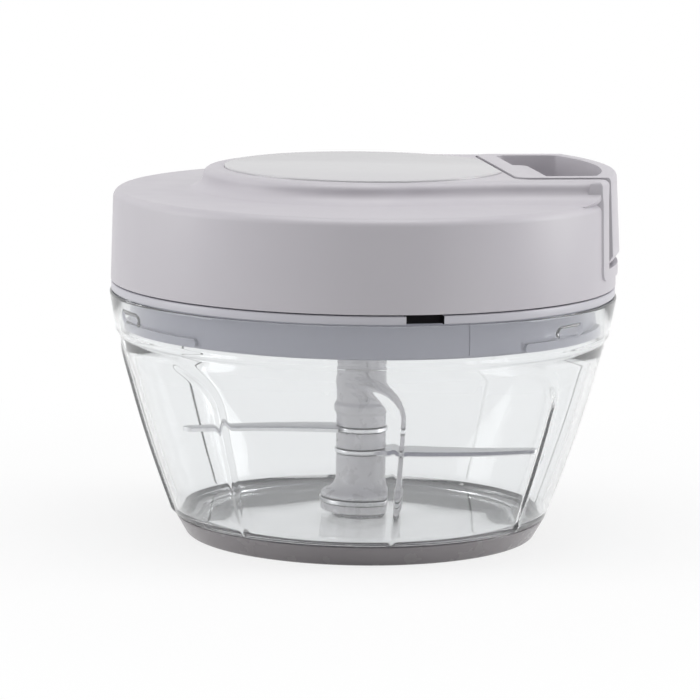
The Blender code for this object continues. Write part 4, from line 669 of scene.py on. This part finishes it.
# %% [markdown]
# ## Base ring
#
# The bowl stands on a soft ring that is pushed over its foot. It is a plain turned section with every
# corner rounded, since a soft rubber has no sharp edge anywhere.
# %% Base ring
ring_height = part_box("base_ring")[1][2]
ring_hole_radius = 0.0405
ring_seat_radius = 0.0454
ring_seat_z = 0.0015
ring = draw_line("foot_ring", [
    (ring_hole_radius, 0.0, 0.0003),
    (0.0446, 0.0, 0.0007),
    (0.0461, 0.0026, 0.0015),
    (0.0476, ring_height, 0.0005),
    (ring_seat_radius, ring_height, 0.0002),
    (ring_seat_radius, ring_seat_z, 0.0002),
    (ring_hole_radius, ring_seat_z, 0.0003),
])
spin_round(ring, 256, 40.0)
wear(ring, ring_soft)
stand_in(ring, "bowl_unit", "ring_rubber", "base_ring")

# %% [markdown]
# ## Lid base
#
# The grey part between cover and bowl is one moulding: a flange that rests on the bowl's rim, a skirt
# that hangs inside the collar, and a floor that carries the works. It is turned as one section. The lock
# ribs that pass under the bowl's lugs are short arcs, drawn as a section and spun through part of a turn,
# then joined with a Boolean. Three small windows are cut into the flange, and their faces get a near
# black finish, which is painted shade, because only shade is seen in there. The flange's own faces get the
# lighter satin, since they are outside the bowl, and the skirt keeps its darker one, which is painted shade.
# %% Lid base: section
flange_top_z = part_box("lid_base")[1][2] - 0.0030
flange_radius = 0.0644
flange_bottom_z = flange_top_z - 0.0021
skirt_radius = 0.0602
skirt_inside = skirt_radius - 0.0020
skirt_bottom_z = rim_z - 0.0088
lid_floor_z = rim_z - 0.0047
lid_floor_top_z = lid_floor_z + 0.0020
spigot_top_z = flange_top_z + 0.0030
spigot_outer = 0.0618
spigot_inner = 0.0600
bush_bore = 0.0068

lid_base = draw_line("lid_base_moulding", [
    (bush_bore, lid_floor_z),
    (skirt_inside, lid_floor_z, 0.0005),
    (skirt_inside, skirt_bottom_z, 0.0004),
    (skirt_radius, skirt_bottom_z, 0.0007),
    (skirt_radius, flange_bottom_z, 0.0003),
    (flange_radius, flange_bottom_z, 0.0002),
    (flange_radius, flange_top_z, 0.0004),
    (spigot_outer, flange_top_z),
    (spigot_outer, spigot_top_z, 0.0005),
    (spigot_inner, spigot_top_z, 0.0005),
    (spigot_inner, flange_top_z),
    (skirt_inside, flange_bottom_z),
    (skirt_inside, lid_floor_top_z, 0.0005),
    (bush_bore, lid_floor_top_z),
])
spin_round(lid_base, 288)
print("flange top at", round(flange_top_z, 4))

# %% Lid base: lock ribs
lock_rib_top_z = lug_z - 0.0008
lock_rib_bottom_z = lock_rib_top_z - 0.0021
lock_rib_inside = skirt_radius - 0.0010
lock_rib_outside = skirt_radius + 0.0010
lock_rib_end_round = 0.0009
lock_rib_arc = 38
first_lock_turn = -58.5


def arc_bar(start):
    """A lock rib with rounded ends: a section with a face, spun through part of a turn."""
    levels = (lock_rib_bottom_z, lock_rib_top_z)
    bar = draw_line("lock_rib", [
        (lock_rib_inside, levels[0]),
        (lock_rib_outside, levels[0]),
        (lock_rib_outside, levels[1]),
        (lock_rib_inside, levels[1]),
    ])
    edit_all()
    bpy.ops.mesh.edge_face_add()
    bpy.ops.mesh.spin(steps=lock_rib_arc, angle=-radians(lock_rib_arc), **axis_z)
    bpy.ops.mesh.select_all(action="SELECT")
    bpy.ops.mesh.normals_make_consistent(inside=False)
    object_mode()
    for level in levels:
        for turn in (0.0, radians(lock_rib_arc)):
            end = Vector((cos(turn), sin(turn)))
            bevel_edges(bar, lock_rib_end_round, 5, lambda place: (
                abs(place.z - level) < 1e-5 and place.xy.normalized().dot(end) > 0.9999
            ))
    turn_mesh(bar, radians(start))
    return bar


for index in range(3):
    join(lid_base, arc_bar(first_lock_turn + 120.0 * index))
print("lock ribs under the lugs at", round(lock_rib_top_z, 4))

# %% Lid base: windows, step lines and holes
third = tau / 3
window_turn = radians(-85.5)
window_width = 0.0093
window_depth = 0.0023
window_height = 0.0034
step_turn = radians(-73.7)
step_line_z = 0.0585
screw_turns = [radians(angle) for angle in (70.0, 135.0, 225.0, 290.0)]
screw_circle = 0.0480
screw_hole_radius = 0.0018


def block(name, middle, size, turn=0.0):
    """A box at a distance from the axis, turned round it."""
    bpy.ops.object.select_all(action="DESELECT")
    bpy.ops.mesh.primitive_cube_add(size=1.0, location=middle, scale=size)
    bpy.ops.object.transform_apply(location=True, rotation=True, scale=True)
    made = bpy.context.object
    made.name = name
    turn_mesh(made, turn)
    return made


def rod(name, radius, low, high, across=0.0, turn=0.0, sides=32):
    """An upright round bar at a distance from the axis."""
    bpy.ops.object.select_all(action="DESELECT")
    place = (across * cos(turn), across * sin(turn), (low + high) / 2)
    bpy.ops.mesh.primitive_cylinder_add(vertices=sides, radius=radius, depth=high - low, location=place)
    bpy.ops.object.transform_apply(location=True, rotation=True, scale=True)
    made = bpy.context.object
    made.name = name
    return made


window_middle = (flange_radius - window_depth / 2 + 0.001, 0.0, flange_bottom_z + 0.0010)
window_size = (window_depth + 0.002, window_width, window_height)
for index in range(3):
    cut(lid_base, block("window", window_middle, window_size, window_turn + third * index))
    line_size = (0.0005, 0.0004, 0.0080)
    cut(lid_base, block("step_line", (skirt_radius, 0.0, step_line_z), line_size, step_turn + third * index))
for turn in screw_turns:
    low, high = lid_floor_z - 0.001, lid_floor_top_z + 0.001
    cut(lid_base, rod("hole", screw_hole_radius, low, high, screw_circle, turn))
tidy_faces(lid_base)
# The skirt's darker finish and the windows' near black finish are painted shade.
wear(lid_base, skirt_painted_shade, window_painted_shade, flange_satin)


def in_window(centre):
    """True for a face that lies in one of the three windows."""
    for index in range(3):
        local = Matrix.Rotation(-window_turn - third * index, 4, "Z") @ centre
        deep = flange_radius - window_depth - 0.0002 < local.x < flange_radius - 0.0001
        level = flange_bottom_z - 0.001 < centre.z < flange_top_z
        if deep and level and abs(local.y) < window_width / 2 + 0.0001:
            return True
    return False


# Faces in a window get the near black painted shade, the flange's outer faces the lighter satin, and the rest
# the skirt's darker painted shade.
for face in lid_base.data.polygons:
    if in_window(face.center):
        face.material_index = 1
    elif face.center.xy.length > flange_radius - 0.0006 and face.center.z < flange_top_z:
        face.material_index = 2
stand_in(lid_base, "lid", "skirt_plastic", "lid_base")

# %% [markdown]
# ## Lid cover
#
# The cover is a round, slightly drafted cap. On it stands a plateau, a little off the middle, whose flank
# sweeps up in a wide hollow curve. It runs out in a straight tail to the lid's edge, where the pull handle
# sits in a notch. A cap with such a curve could be sculpted, but a moulder cuts it from simple bodies, and
# so does this: a spun body, a plateau raised from its own outline by insets, and a raised lip round the
# notch are joined, and then the hollow, the pocket and the plate's seat are cut away.
# %% Lid cover: body
lid_radius = 0.0645
cover_top_radius = 0.0640
cover_wall = 0.0022
cover_bottom_z = flange_top_z + 0.0003
plateau_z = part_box("lid_cover")[1][2]
shoulder_top_z = plateau_z - 0.0057
shoulder_round = 0.0021
shoulder_rise_z = shoulder_top_z + 0.0004
plateau_radius = 0.0382
plateau_middle_x = -0.0030

cover = draw_line("cover_moulding", [
    (0.0, cover_bottom_z),
    (lid_radius, cover_bottom_z, 0.0003),
    (cover_top_radius, shoulder_top_z, shoulder_round),
    (plateau_radius, shoulder_rise_z),
    (0.0, shoulder_rise_z),
])
spin_round(cover, 384)
print("cover from", round(cover_bottom_z, 4), "to", round(plateau_z, 4))

# %% Lid cover: outline of the plateau
plateau_fillet = 0.0060
plateau_root = 0.0024
tail_half_width = 0.0340
tail_end_x = 0.0760
pocket_back_x = 0.0335
leave_turn = 78.0
sweep_steps = 16


def arc(middle_x, middle_y, radius, start, end, steps):
    """Points on an arc between two angles in degrees, both ends included."""
    points = []
    for step in range(steps + 1):
        angle = radians(start + (end - start) * step / steps)
        points.append((middle_x + radius * cos(angle), middle_y + radius * sin(angle)))
    return points


def back_corners(back, half, corner, steps):
    """The two rounded corners at the back of the pocket or the handle."""
    points = arc(back + corner, half - corner, corner, 90.0, 180.0, steps)
    return points + arc(back + corner, corner - half, corner, 180.0, 270.0, steps)


def draw_outline(name, points, height):
    """Draw a closed outline at a height, one extrude for each point, and fill it with a face."""
    piece = draw_line(name, [(points[0][0], height)], closed=False)
    edit_all()
    bpy.ops.transform.translate(value=(0.0, points[0][1], 0.0))
    for before, after in zip(points, points[1:]):
        extrude(after[0] - before[0], after[1] - before[1], 0.0)
    bpy.ops.mesh.select_all(action="SELECT")
    bpy.ops.mesh.edge_face_add()
    bpy.ops.mesh.normals_make_consistent(inside=False)
    object_mode()
    if piece.data.polygons[0].normal.z < 0:
        bpy.ops.object.mode_set(mode="EDIT")
        bpy.ops.mesh.flip_normals()
        object_mode()
    return piece


def plateau_outline(grown):
    """Round plateau and straight tail, with an S-shaped sweep between them."""
    radius = plateau_radius + grown
    half = tail_half_width + grown
    circle = arc(plateau_middle_x, 0.0, radius, leave_turn, 360.0 - leave_turn, 120)
    circle_x, circle_y = circle[0]
    sweep = []
    for step in range(sweep_steps + 1):
        share = step / sweep_steps
        across = half + (circle_y - half) * ease(share)
        sweep.append((pocket_back_x + (circle_x - pocket_back_x) * share, across))
    points = [(tail_end_x, -half), (tail_end_x, half)] + sweep + circle[1:-1]
    return points + [(x, -y) for x, y in reversed(sweep)]


plateau = draw_outline("plateau", plateau_outline(plateau_fillet), shoulder_top_z - plateau_root)
print("plateau outline:", len(plateau.data.vertices), "points")

# %% Lid cover: raise the plateau
rim_width = 0.0024
rim_height = 0.0019
flank_rise = plateau_z - rim_height - shoulder_top_z


def quarter(steps):
    """The start and end angle of each step of a quarter turn."""
    angles = [radians(90.0 * step / steps) for step in range(steps + 1)]
    return list(zip(angles, angles[1:]))


bpy.ops.object.mode_set(mode="EDIT")
bpy.ops.mesh.select_mode(type="FACE")
bpy.ops.mesh.select_all(action="SELECT")
extrude(0.0, 0.0, plateau_root)
insets = []
for low, high in quarter(12):
    insets.append((plateau_fillet * (sin(high) - sin(low)), flank_rise * (cos(low) - cos(high))))
for low, high in quarter(8):
    insets.append((rim_width * (cos(low) - cos(high)), rim_height * (sin(high) - sin(low))))
for inwards, upwards in insets:
    bpy.ops.mesh.inset(thickness=inwards, depth=upwards, use_even_offset=True)
object_mode()
tidy_faces(plateau)
top_of_plateau = max(vertex.co.z for vertex in plateau.data.vertices)
print("plateau raised to", round(top_of_plateau, 5), "for", round(plateau_z, 5))

# %% Lid cover: cut the tail to the lid's round edge
tail_limit = draw_line("tail_limit", [
    (0.0, shoulder_top_z - 0.0050),
    (cover_top_radius - 0.0024, shoulder_top_z - 0.0014),
    (cover_top_radius - 0.0009, shoulder_top_z - 0.0002, 0.0008),
    (cover_top_radius + 0.0001, shoulder_top_z + 0.0008, 0.0008),
    (cover_top_radius - 0.0001, plateau_z, 0.0016),
    (0.0, plateau_z + 0.00002),
])
spin_round(tail_limit, 384)
combine(plateau, tail_limit, "INTERSECT")
join(cover, plateau)
print("cover with plateau:", len(cover.data.polygons), "faces")

# %% Lid cover: lip round the notch
pocket_half_width = 0.0297
pocket_floor_z = plateau_z - 0.0226
lip_half = pocket_half_width + 0.0040
lip_half_high = pocket_half_width + 0.0048
lip_outside = cover_top_radius + 0.0005
lip_inside = lip_outside - 0.0026
lip_foot_z = pocket_floor_z - 0.0028
lip_top_z = plateau_z - 0.00002
lip_root_radius = 0.0400
gauge_back_x = 0.0480
gauge_depth = 0.0250

lip = draw_line("notch_lip", [
    (lip_root_radius, lip_foot_z - 0.0010),
    (lid_radius + 0.0005 - 0.00003, lip_foot_z - 0.0010),
    (lip_outside, shoulder_top_z),
    (lip_outside, lip_top_z, 0.0016),
    (lip_inside, lip_top_z, 0.0008),
    (lip_inside - 0.0010, shoulder_top_z - 0.0004),
    (lip_root_radius, shoulder_top_z - 0.0040),
])
spin_round(lip, 384)
left_side = [
    (-lip_half_high, plateau_z - 0.00004, 0.0010),
    (-lip_half_high, shoulder_top_z + 0.0022, 0.0010),
    (-lip_half, shoulder_top_z, 0.0010),
    (-lip_half, lip_foot_z, 0.0022),
]
gauge = draw_line("lip_gauge", left_side[3:] + [
    (-across, up, rounding) for across, up, rounding in reversed(left_side)
] + left_side[:3])
face_along_x(gauge, gauge_back_x)
extrude(gauge_depth, 0.0, 0.0)
object_mode()
tidy_faces(gauge)
combine(lip, gauge, "INTERSECT")
join(cover, lip)
print("lip from", round(lip_foot_z, 4), "to the plateau, joined")

# %% Lid cover: hollow with the pocket's walls
pocket_corner = 0.0040
pocket_far_x = 0.0780
ceiling = 0.0022
plate_seat_z = plateau_z - 0.0011


def upright(name, points, low, height):
    """An upright body, extruded from its outline."""
    made = draw_outline(name, points, low)
    edit_all()
    extrude(0.0, 0.0, height)
    object_mode()
    tidy_faces(made)
    return made


def pocket_block(name, grown, low, high):
    """The handle's pocket as a body: straight sides, rounded back corners, open at the front."""
    half = pocket_half_width + grown
    points = [(pocket_far_x, -half), (pocket_far_x, half)]
    points += back_corners(pocket_back_x - grown, half, pocket_corner + grown, 10)
    return upright(name, points, low, high - low)


hollow = draw_line("hollow", [
    (0.0, cover_bottom_z - 0.0100),
    (lid_radius - cover_wall, cover_bottom_z - 0.0100),
    (lid_radius - cover_wall, cover_bottom_z - 0.0007),
    (cover_top_radius - cover_wall, shoulder_top_z - ceiling, 0.0010),
    (plateau_radius - ceiling, shoulder_top_z - ceiling),
    (plateau_radius - ceiling, plate_seat_z - ceiling),
    (0.0, plate_seat_z - ceiling),
])
spin_round(hollow, 192)
cut(hollow, pocket_block("pocket_walls", cover_wall, pocket_floor_z - cover_wall, plateau_z))
cut(cover, hollow)
print("hollow cover:", len(cover.data.polygons), "faces")

# %% Lid cover: posts, seat and bores
above_z = plateau_z + 0.0050
post_radius = 0.0040
post_bottom_z = lid_floor_top_z + 0.0003
arbor_radius = 0.0046
axle_top_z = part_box("reel_axle")[1][2]
arbor_bottom_z = axle_top_z - 0.0120
guide_z = (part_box("cord_guide")[0][2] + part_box("cord_guide")[1][2]) / 2
guide_hole_radius = 0.0032
plate_cut_x = pocket_back_x - 0.0009
plate_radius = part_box("top_plate")[1][1]
plate_gap = 0.00012


def plate_body(name, grown, low, high):
    """A round plate that a bisect cuts straight where the handle begins."""
    made = rod(name, plate_radius + grown, low, high, sides=288)
    edit_all()
    bpy.ops.mesh.bisect(
        plane_co=(plate_cut_x + grown, 0.0, 0.0), plane_no=(1.0, 0.0, 0.0), use_fill=True, clear_outer=True
    )
    object_mode()
    return made


def cord_bore(radius, middle_x, sides):
    """A round bar along X at the cord's height."""
    bar = rod("cord_bore", radius, -0.0060, 0.0060, sides=sides)
    turn_mesh(bar, radians(90.0), "Y")
    bar.data.transform(Matrix.Translation((middle_x, 0.0, guide_z)))
    return bar


for turn in screw_turns:
    join(cover, rod("post", post_radius, post_bottom_z, shoulder_top_z - 0.0011, screw_circle, turn, 48))
join(cover, rod("arbor", arbor_radius, arbor_bottom_z, plateau_z - 0.0022, sides=48))
cut(cover, pocket_block("pocket", 0.0, pocket_floor_z, above_z))
cut(cover, plate_body("plate_seat", plate_gap, plate_seat_z, above_z))
for turn in screw_turns:
    cut(cover, rod("bore", screw_hole_radius, lid_floor_z + 0.001, lid_floor_z + 0.0130, screw_circle, turn))
cut(cover, rod("axle_bore", 0.0023, arbor_bottom_z - 0.001, axle_top_z + 0.0003))
cut(cover, cord_bore(guide_hole_radius, pocket_back_x - 0.0011, 48))
tidy_faces(cover, 30.0)
wear(cover, lid_satin)
stand_in(cover, "lid", "lid_plastic", "lid_cover")

# %% [markdown]
# ## Top plate
#
# The inlay on the plateau is a thin glossy disc, cut straight along the handle. A cylinder is bisected
# for the straight side, and only the edges round its upper face are bevelled, because the lower ones sit
# in the seat. It lies a tenth of a millimetre clear of the seat, which draws the fine line of the photograph.
# %% Top plate
plate_low_z, plate_high_z = (corner[2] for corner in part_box("top_plate"))
plate = plate_body("inlay_plate", 0.0, plate_low_z, plate_high_z)
bevel_edges(plate, 0.0003, 3, lambda place: place.z > plate_high_z - 0.0002)
tidy_faces(plate, 40.0)
wear(plate, plate_gloss)
stand_in(plate, "lid", "plate_plastic", "top_plate")

# %% [markdown]
# ## Pull handle
#
# The handle is a closed loop in the shape of a D: a bar behind, two arms, and a tall grip that follows the
# lid's round side. Its outline is drawn once and extruded upwards in steps. After each step only the front
# is moved, so the grip gets its chamfer at the foot, its lean above and its round top edge. The finger
# opening and the cord's hole are cut out, the cord's tongue is joined in, and a Bevel modifier softens what
# is left sharp.
# %% Pull handle: loop
handle_low, handle_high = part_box("pull_handle")
handle_low_z = handle_low[2]
handle_back_x = handle_low[0]
handle_half_width = handle_high[1]
handle_proud = 0.0004
handle_corner = 0.0037
foot_half_width = handle_half_width - 0.0016
grip_bottom_radius = 0.0653
grip_top_radius = 0.0639
grip_inner_radius = 0.0603
grip_chamfer = 0.0015
grip_chamfer_height = 0.0021
top_round = 0.0015
top_round_inwards = 0.0010
front_from_x = 0.0500
lean_height = handle_high[2] + handle_proud - handle_low_z - grip_chamfer_height


def d_outline(radius, half, back, corner):
    """Straight back and sides, rounded back corners, and a front arc about the lid's axis."""
    turn = degrees(asin(half / radius))
    return arc(0.0, 0.0, radius, -turn, turn, 48) + back_corners(back, half, corner, 8)


def lift(piece, upwards, outwards, widen=1.0):
    """Extrude the topmost face, widen it, and move its front forwards or back."""
    top = max(vertex.co.z for vertex in piece.data.vertices)
    pick_vertices(piece, lambda place: place.z > top - 1e-6)
    extrude(0.0, 0.0, upwards)
    bpy.ops.transform.resize(value=(1.0, widen, 1.0), center_override=(0.0, 0.0, top + upwards))
    object_mode()
    pick_vertices(piece, lambda place: place.z > top + upwards / 2 and place.x > front_from_x)
    bpy.ops.transform.translate(value=(outwards, 0.0, 0.0))
    object_mode()


foot = d_outline(grip_bottom_radius - grip_chamfer, foot_half_width, handle_back_x, handle_corner)
handle = draw_outline("pull_loop", foot, handle_low_z)
lift(handle, grip_chamfer_height, grip_chamfer)
lean = (grip_top_radius - grip_bottom_radius) * 0.9
lift(handle, lean_height - top_round, lean, handle_half_width / foot_half_width)
for low, high in quarter(4):
    lift(handle, top_round * (sin(high) - sin(low)), -top_round_inwards * (cos(low) - cos(high)))
tidy_faces(handle)
print("handle loop:", len(handle.data.polygons), "faces")

# %% Pull handle: opening, tongue and cord hole
bar_front_x = handle_back_x + 0.0046
inner_half = handle_half_width - 0.0034
front_corner_x = sqrt(grip_inner_radius ** 2 - inner_half ** 2)
opening_corner = 0.0030
front_corner_round = 0.0055
tongue_half_width = 0.0142
tongue_corner = 0.0034
tongue_end_x = bar_front_x + 0.0067
tongue_top_z = handle_high[2] - 0.0009
tongue_thickness = 0.0075

opening_outline = d_outline(grip_inner_radius, inner_half, bar_front_x, opening_corner)
opening = upright("opening", opening_outline, handle_low_z - 0.005, 0.0400)
bevel_edges(opening, front_corner_round, 8, lambda place: (
    abs(place.x - front_corner_x) < 0.0001 and abs(place.y) > inner_half - 0.0001
))
cut(handle, opening)
round_x, round_y = tongue_end_x - tongue_corner, tongue_half_width - tongue_corner
tongue_outline = [(bar_front_x - 0.001, -tongue_half_width)]
tongue_outline += arc(round_x, -round_y, tongue_corner, -90.0, 0.0, 8)
tongue_outline += arc(round_x, round_y, tongue_corner, 0.0, 90.0, 8)
tongue_outline.append((bar_front_x - 0.001, tongue_half_width))
tongue = upright("tongue", tongue_outline, tongue_top_z - tongue_thickness, tongue_thickness)
bevel_edges(tongue, 0.0012, 4, lambda place: place.z > tongue_top_z - 0.0001 and place.x > bar_front_x)
join(handle, tongue)
cut(handle, cord_bore(0.0013, handle_back_x, 32))
modify(handle, "BEVEL", width=0.0005, segments=3, limit_method="ANGLE", angle_limit=radians(40.0))
tidy_faces(handle, 35.0)
wear(handle, lid_satin)
stand_in(handle, "handle", "lid_plastic", "pull_handle")

# %% [markdown]
# ## Blade hub
#
# The blades sit on a frosted tube that is open for the drive shaft at its top and stands on the bowl's pin
# at its foot. It is turned in one piece with its ring and its bell, and the shaft's hexagonal socket is
# cut out with a six-sided cylinder. A narrow slot in its front is where the mould's core pin stood.
# %% Blade hub
hub_low_z, hub_high_z = (corner[2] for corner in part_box("blade_hub"))
hub_radius = 0.0064
hub_ring_radius = hub_radius + 0.0006
bell_radius = 0.0102
pin_bore = 0.0026
pin_room_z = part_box("centre_pin")[1][2] + 0.0004
blade_thickness = 0.0010
blade_levels = {
    name: (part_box(name)[0][2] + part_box(name)[1][2]) / 2
    for name in ("upper_blade", "middle_blade", "lower_blade")
}
lower_level = blade_levels["lower_blade"]
groove_depth = 0.0020
ring_z = blade_levels["upper_blade"] + 0.0046
seat_z = floor_z + 0.0046 + 0.0004
hex_radius = 0.0047
socket_bottom_z = blade_levels["upper_blade"] + 0.0073


def groove(level, radius):
    """The line of a groove that a blade's ring sits in, from below upwards."""
    low, high = level - blade_thickness / 2 - 0.0003, level + blade_thickness / 2 + 0.0003
    inner = radius - groove_depth
    return [(radius, low, 0.0001), (inner, low), (inner, high), (radius, high, 0.0001)]


hub_corners = [
    (pin_bore, seat_z),
    (0.0046, seat_z),
    (0.0062, hub_low_z, 0.0002),
    (bell_radius, hub_low_z, 0.0004),
    *groove(lower_level, bell_radius),
    (bell_radius, lower_level + 0.0018, 0.0006),
    (hub_radius + 0.0012, lower_level + 0.0030, 0.0009),
    (hub_radius, lower_level + 0.0048, 0.0009),
    *groove(blade_levels["middle_blade"], hub_radius),
    *groove(blade_levels["upper_blade"], hub_radius),
    (hub_radius, ring_z - 0.0009, 0.0003),
    (hub_ring_radius, ring_z, 0.0003),
    (hub_ring_radius, ring_z + 0.0016, 0.0003),
    (hub_radius, ring_z + 0.0025, 0.0003),
    (hub_radius, hub_high_z, 0.0005),
    (0.0, hub_high_z),
    (0.0, pin_room_z),
    (pin_bore, pin_room_z),
]
hub = draw_line("hub_tube", hub_corners)
spin_round(hub, 120)
cut(hub, rod("hex_socket", hex_radius, socket_bottom_z, hub_high_z + 0.001, sides=6))
cut(hub, block("slot", (hub_radius, 0.0, ring_z + 0.0062), (0.0011, 0.0007, 0.0060), radians(-88.0)))
tidy_faces(hub)
wear(hub, hub_frosted)
stand_in(hub, "blade_unit", "hub_plastic", "blade_hub")

# %% [markdown]
# ## Blades
#
# Each blade is a stamped wing of 1 mm sheet with a ring at its root that is moulded into the hub. It starts
# as a drawn section, with the ground slope of the cutting edge already in it, and is extruded outwards
# step by step: each step moves the section along a swept curve and narrows it. The ground slope gets its
# own brighter finish, because the grinding wheel leaves lines across the edge while the sheet is polished
# along its length. That direction differs for each blade, so each has its own turned finish.
# %% Blades
blade_length = 0.0425
blade_root_width = 0.0120
blade_tip_width = 0.0050
blade_sweep = 0.0090
edge_width = 0.0022
edge_thickness = 0.0003
blade_steps = 24
tip_turns = (15.0, 30.0, 45.0, 60.0, 72.0)
blade_turns = {"upper_blade": 166.0, "middle_blade": -21.0, "lower_blade": 71.0}


def wing(name, level, root):
    """A swept wing along X, extruded from its root section."""
    half = blade_root_width / 2
    low, high = level - blade_thickness / 2, level + blade_thickness / 2
    made = draw_line(name, [
        (-half, low),
        (half, low),
        (half, high, 0.0002),
        (edge_width - half, high, 0.0001),
        (-half, low + edge_thickness),
    ])
    face_along_x(made, root)
    route = []
    for step in range(blade_steps + 1):
        share = step / blade_steps
        width = blade_root_width + (blade_tip_width - blade_root_width) * share ** 1.4
        route.append((root + (blade_length - root) * share, blade_sweep * share * share, width))
    for turn in tip_turns:
        angle = radians(turn)
        tip_x = blade_length + blade_tip_width / 2 * sin(angle)
        route.append((tip_x, blade_sweep, blade_tip_width * cos(angle)))
    for (x, y, width), (next_x, next_y, next_width) in zip(route, route[1:]):
        extrude(next_x - x, next_y - y, 0.0)
        narrower = (1.0, next_width / width, 1.0)
        bpy.ops.transform.resize(value=narrower, center_override=(next_x, next_y, level))
    object_mode()
    tidy_faces(made, 20.0)
    return made


def blade_ring(level, outer, inner):
    """The flat ring at a blade's root, a hair thinner than the wing so that no faces lie in one plane."""
    low, high = level - blade_thickness / 2 + 0.00001, level + blade_thickness / 2 - 0.00001
    corners = [(inner, low), (outer, low, 0.0001), (outer, high, 0.0001), (inner, high)]
    return spin_round(draw_line("blade_ring", corners), 96)


for name, level in blade_levels.items():
    radius = bell_radius if name == "lower_blade" else hub_radius
    bore = radius - groove_depth + 0.0003
    blade = wing(name.replace("_blade", "_wing"), level, radius - groove_depth / 2)
    join(blade, blade_ring(level, radius + 0.0004, bore))
    cut(blade, rod("core", bore, level - 0.002, level + 0.002, sides=96))
    turn = radians(blade_turns[name])
    turn_mesh(blade, turn)
    tidy_faces(blade, 20.0)
    sheet = brushed(f"{name}_steel", (0.74, 0.74, 0.75), (0.88, 0.88, 0.89), 0.32, (18.0, 1.0, 1.0), turn)
    ground = brushed(f"{name}_ground", (0.84, 0.84, 0.85), (0.93, 0.93, 0.94), 0.16, (1.0, 12.0, 12.0), turn)
    wear(blade, sheet, ground)
    for face in blade.data.polygons:
        if 0.15 < face.normal.z < 0.98 and face.area > 1e-7:
            face.material_index = 1
    stand_in(blade, "blade_unit", "steel", name)

# %% [markdown]
# ## Cord
#
# The pull cord is a 2 mm braid. It lies in three and a half turns on the reel, leaves the drum straight for
# its guide, bends there, and ends in a knot behind the handle's bar. A round cord is a curve with a bevel:
# its points follow the route, and the curve is then converted to a mesh. The winding turns with the reel
# as one body, so the straight stretch starts on top of its last turn, where the two stay clear of each
# other. The stretch between the guide's mouth and the knot is one mesh that rides on no body. The knot is
# a real one, the curve that winds three times through a ring while it goes round it twice, drawn as tight
# as the cord allows.
# %% Cord: winding
cord_radius = 0.0010
drum_radius = 0.0220
winding_radius = drum_radius + cord_radius + 0.0003
winding_turns = 3.5
winding_steps = 210
winding_pitch = 0.0022
winding_top_z = guide_z - 0.0024
guide_x = pocket_back_x - cover_wall
leave_angle = acos(winding_radius / guide_x)


def round_cord(name, points, radius, closed=False):
    """A cord as a bevelled curve through points, made a mesh with closed ends."""
    curve = bpy.data.curves.new(name, "CURVE")
    curve.dimensions = "3D"
    curve.bevel_depth = radius
    curve.bevel_resolution = 4
    curve.use_fill_caps = not closed
    route = curve.splines.new("POLY")
    route.points.add(len(points) - 1)
    for target, point in zip(route.points, points):
        target.co = (*point, 1.0)
    route.use_cyclic_u = closed
    piece = bpy.data.objects.new(name, curve)
    bpy.context.scene.collection.objects.link(piece)
    choose(piece)
    bpy.ops.object.convert(target="MESH")
    piece = bpy.context.object
    piece.name = name
    tidy_faces(piece, 60.0)
    wear(piece, cord_braid)
    return piece


winding_points = []
for step in range(winding_steps + 1):
    turns_back = winding_turns * (winding_steps - step) / winding_steps
    angle = leave_angle + tau * turns_back
    height = winding_top_z - winding_pitch * turns_back
    winding_points.append(Vector((winding_radius * cos(angle), winding_radius * sin(angle), height)))
winding = round_cord("wound_cord", winding_points, cord_radius)
stand_in(winding, "reel", "cord", "cord_winding")

# %% Cord: straight stretch
knot_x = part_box("cord_knot")[0][0]
bend_reach = 0.0030
bend = Vector((guide_x, 0.0, guide_z))
leave = winding_points[-1] + Vector((0.0, 0.0, 2 * cord_radius + 0.0001))
along = (bend - leave).normalized()
before = bend - along * bend_reach
after = bend + Vector((bend_reach, 0.0, 0.0))
run_points = [leave - along * 0.0015, leave + along * (bend - leave).length * 0.35]
for step in range(11):
    share = step / 10
    run_points.append(before.lerp(bend, share).lerp(bend.lerp(after, share), share))
run_points.append(Vector((knot_x - 0.0004, 0.0, guide_z)))
run = round_cord("pulled_cord", run_points, cord_radius)
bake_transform(run)
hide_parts("cord_run")

# %% Cord: knot
knot_middle_x = (knot_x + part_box("cord_knot")[1][0]) / 2
knot_scale = 0.00048
knot_depth = 0.00130
knot_steps = 160
knot_points = []
for step in range(knot_steps):
    angle = tau * step / knot_steps
    reach = (2 + cos(3 * angle)) * knot_scale
    forwards = knot_depth * sin(3 * angle)
    up = guide_z + reach * sin(2 * angle)
    knot_points.append(Vector((knot_middle_x + forwards, reach * cos(2 * angle), up)))
knot = round_cord("stop_knot", knot_points, cord_radius * 0.95, closed=True)
stand_in(knot, "handle", "cord", "cord_knot")
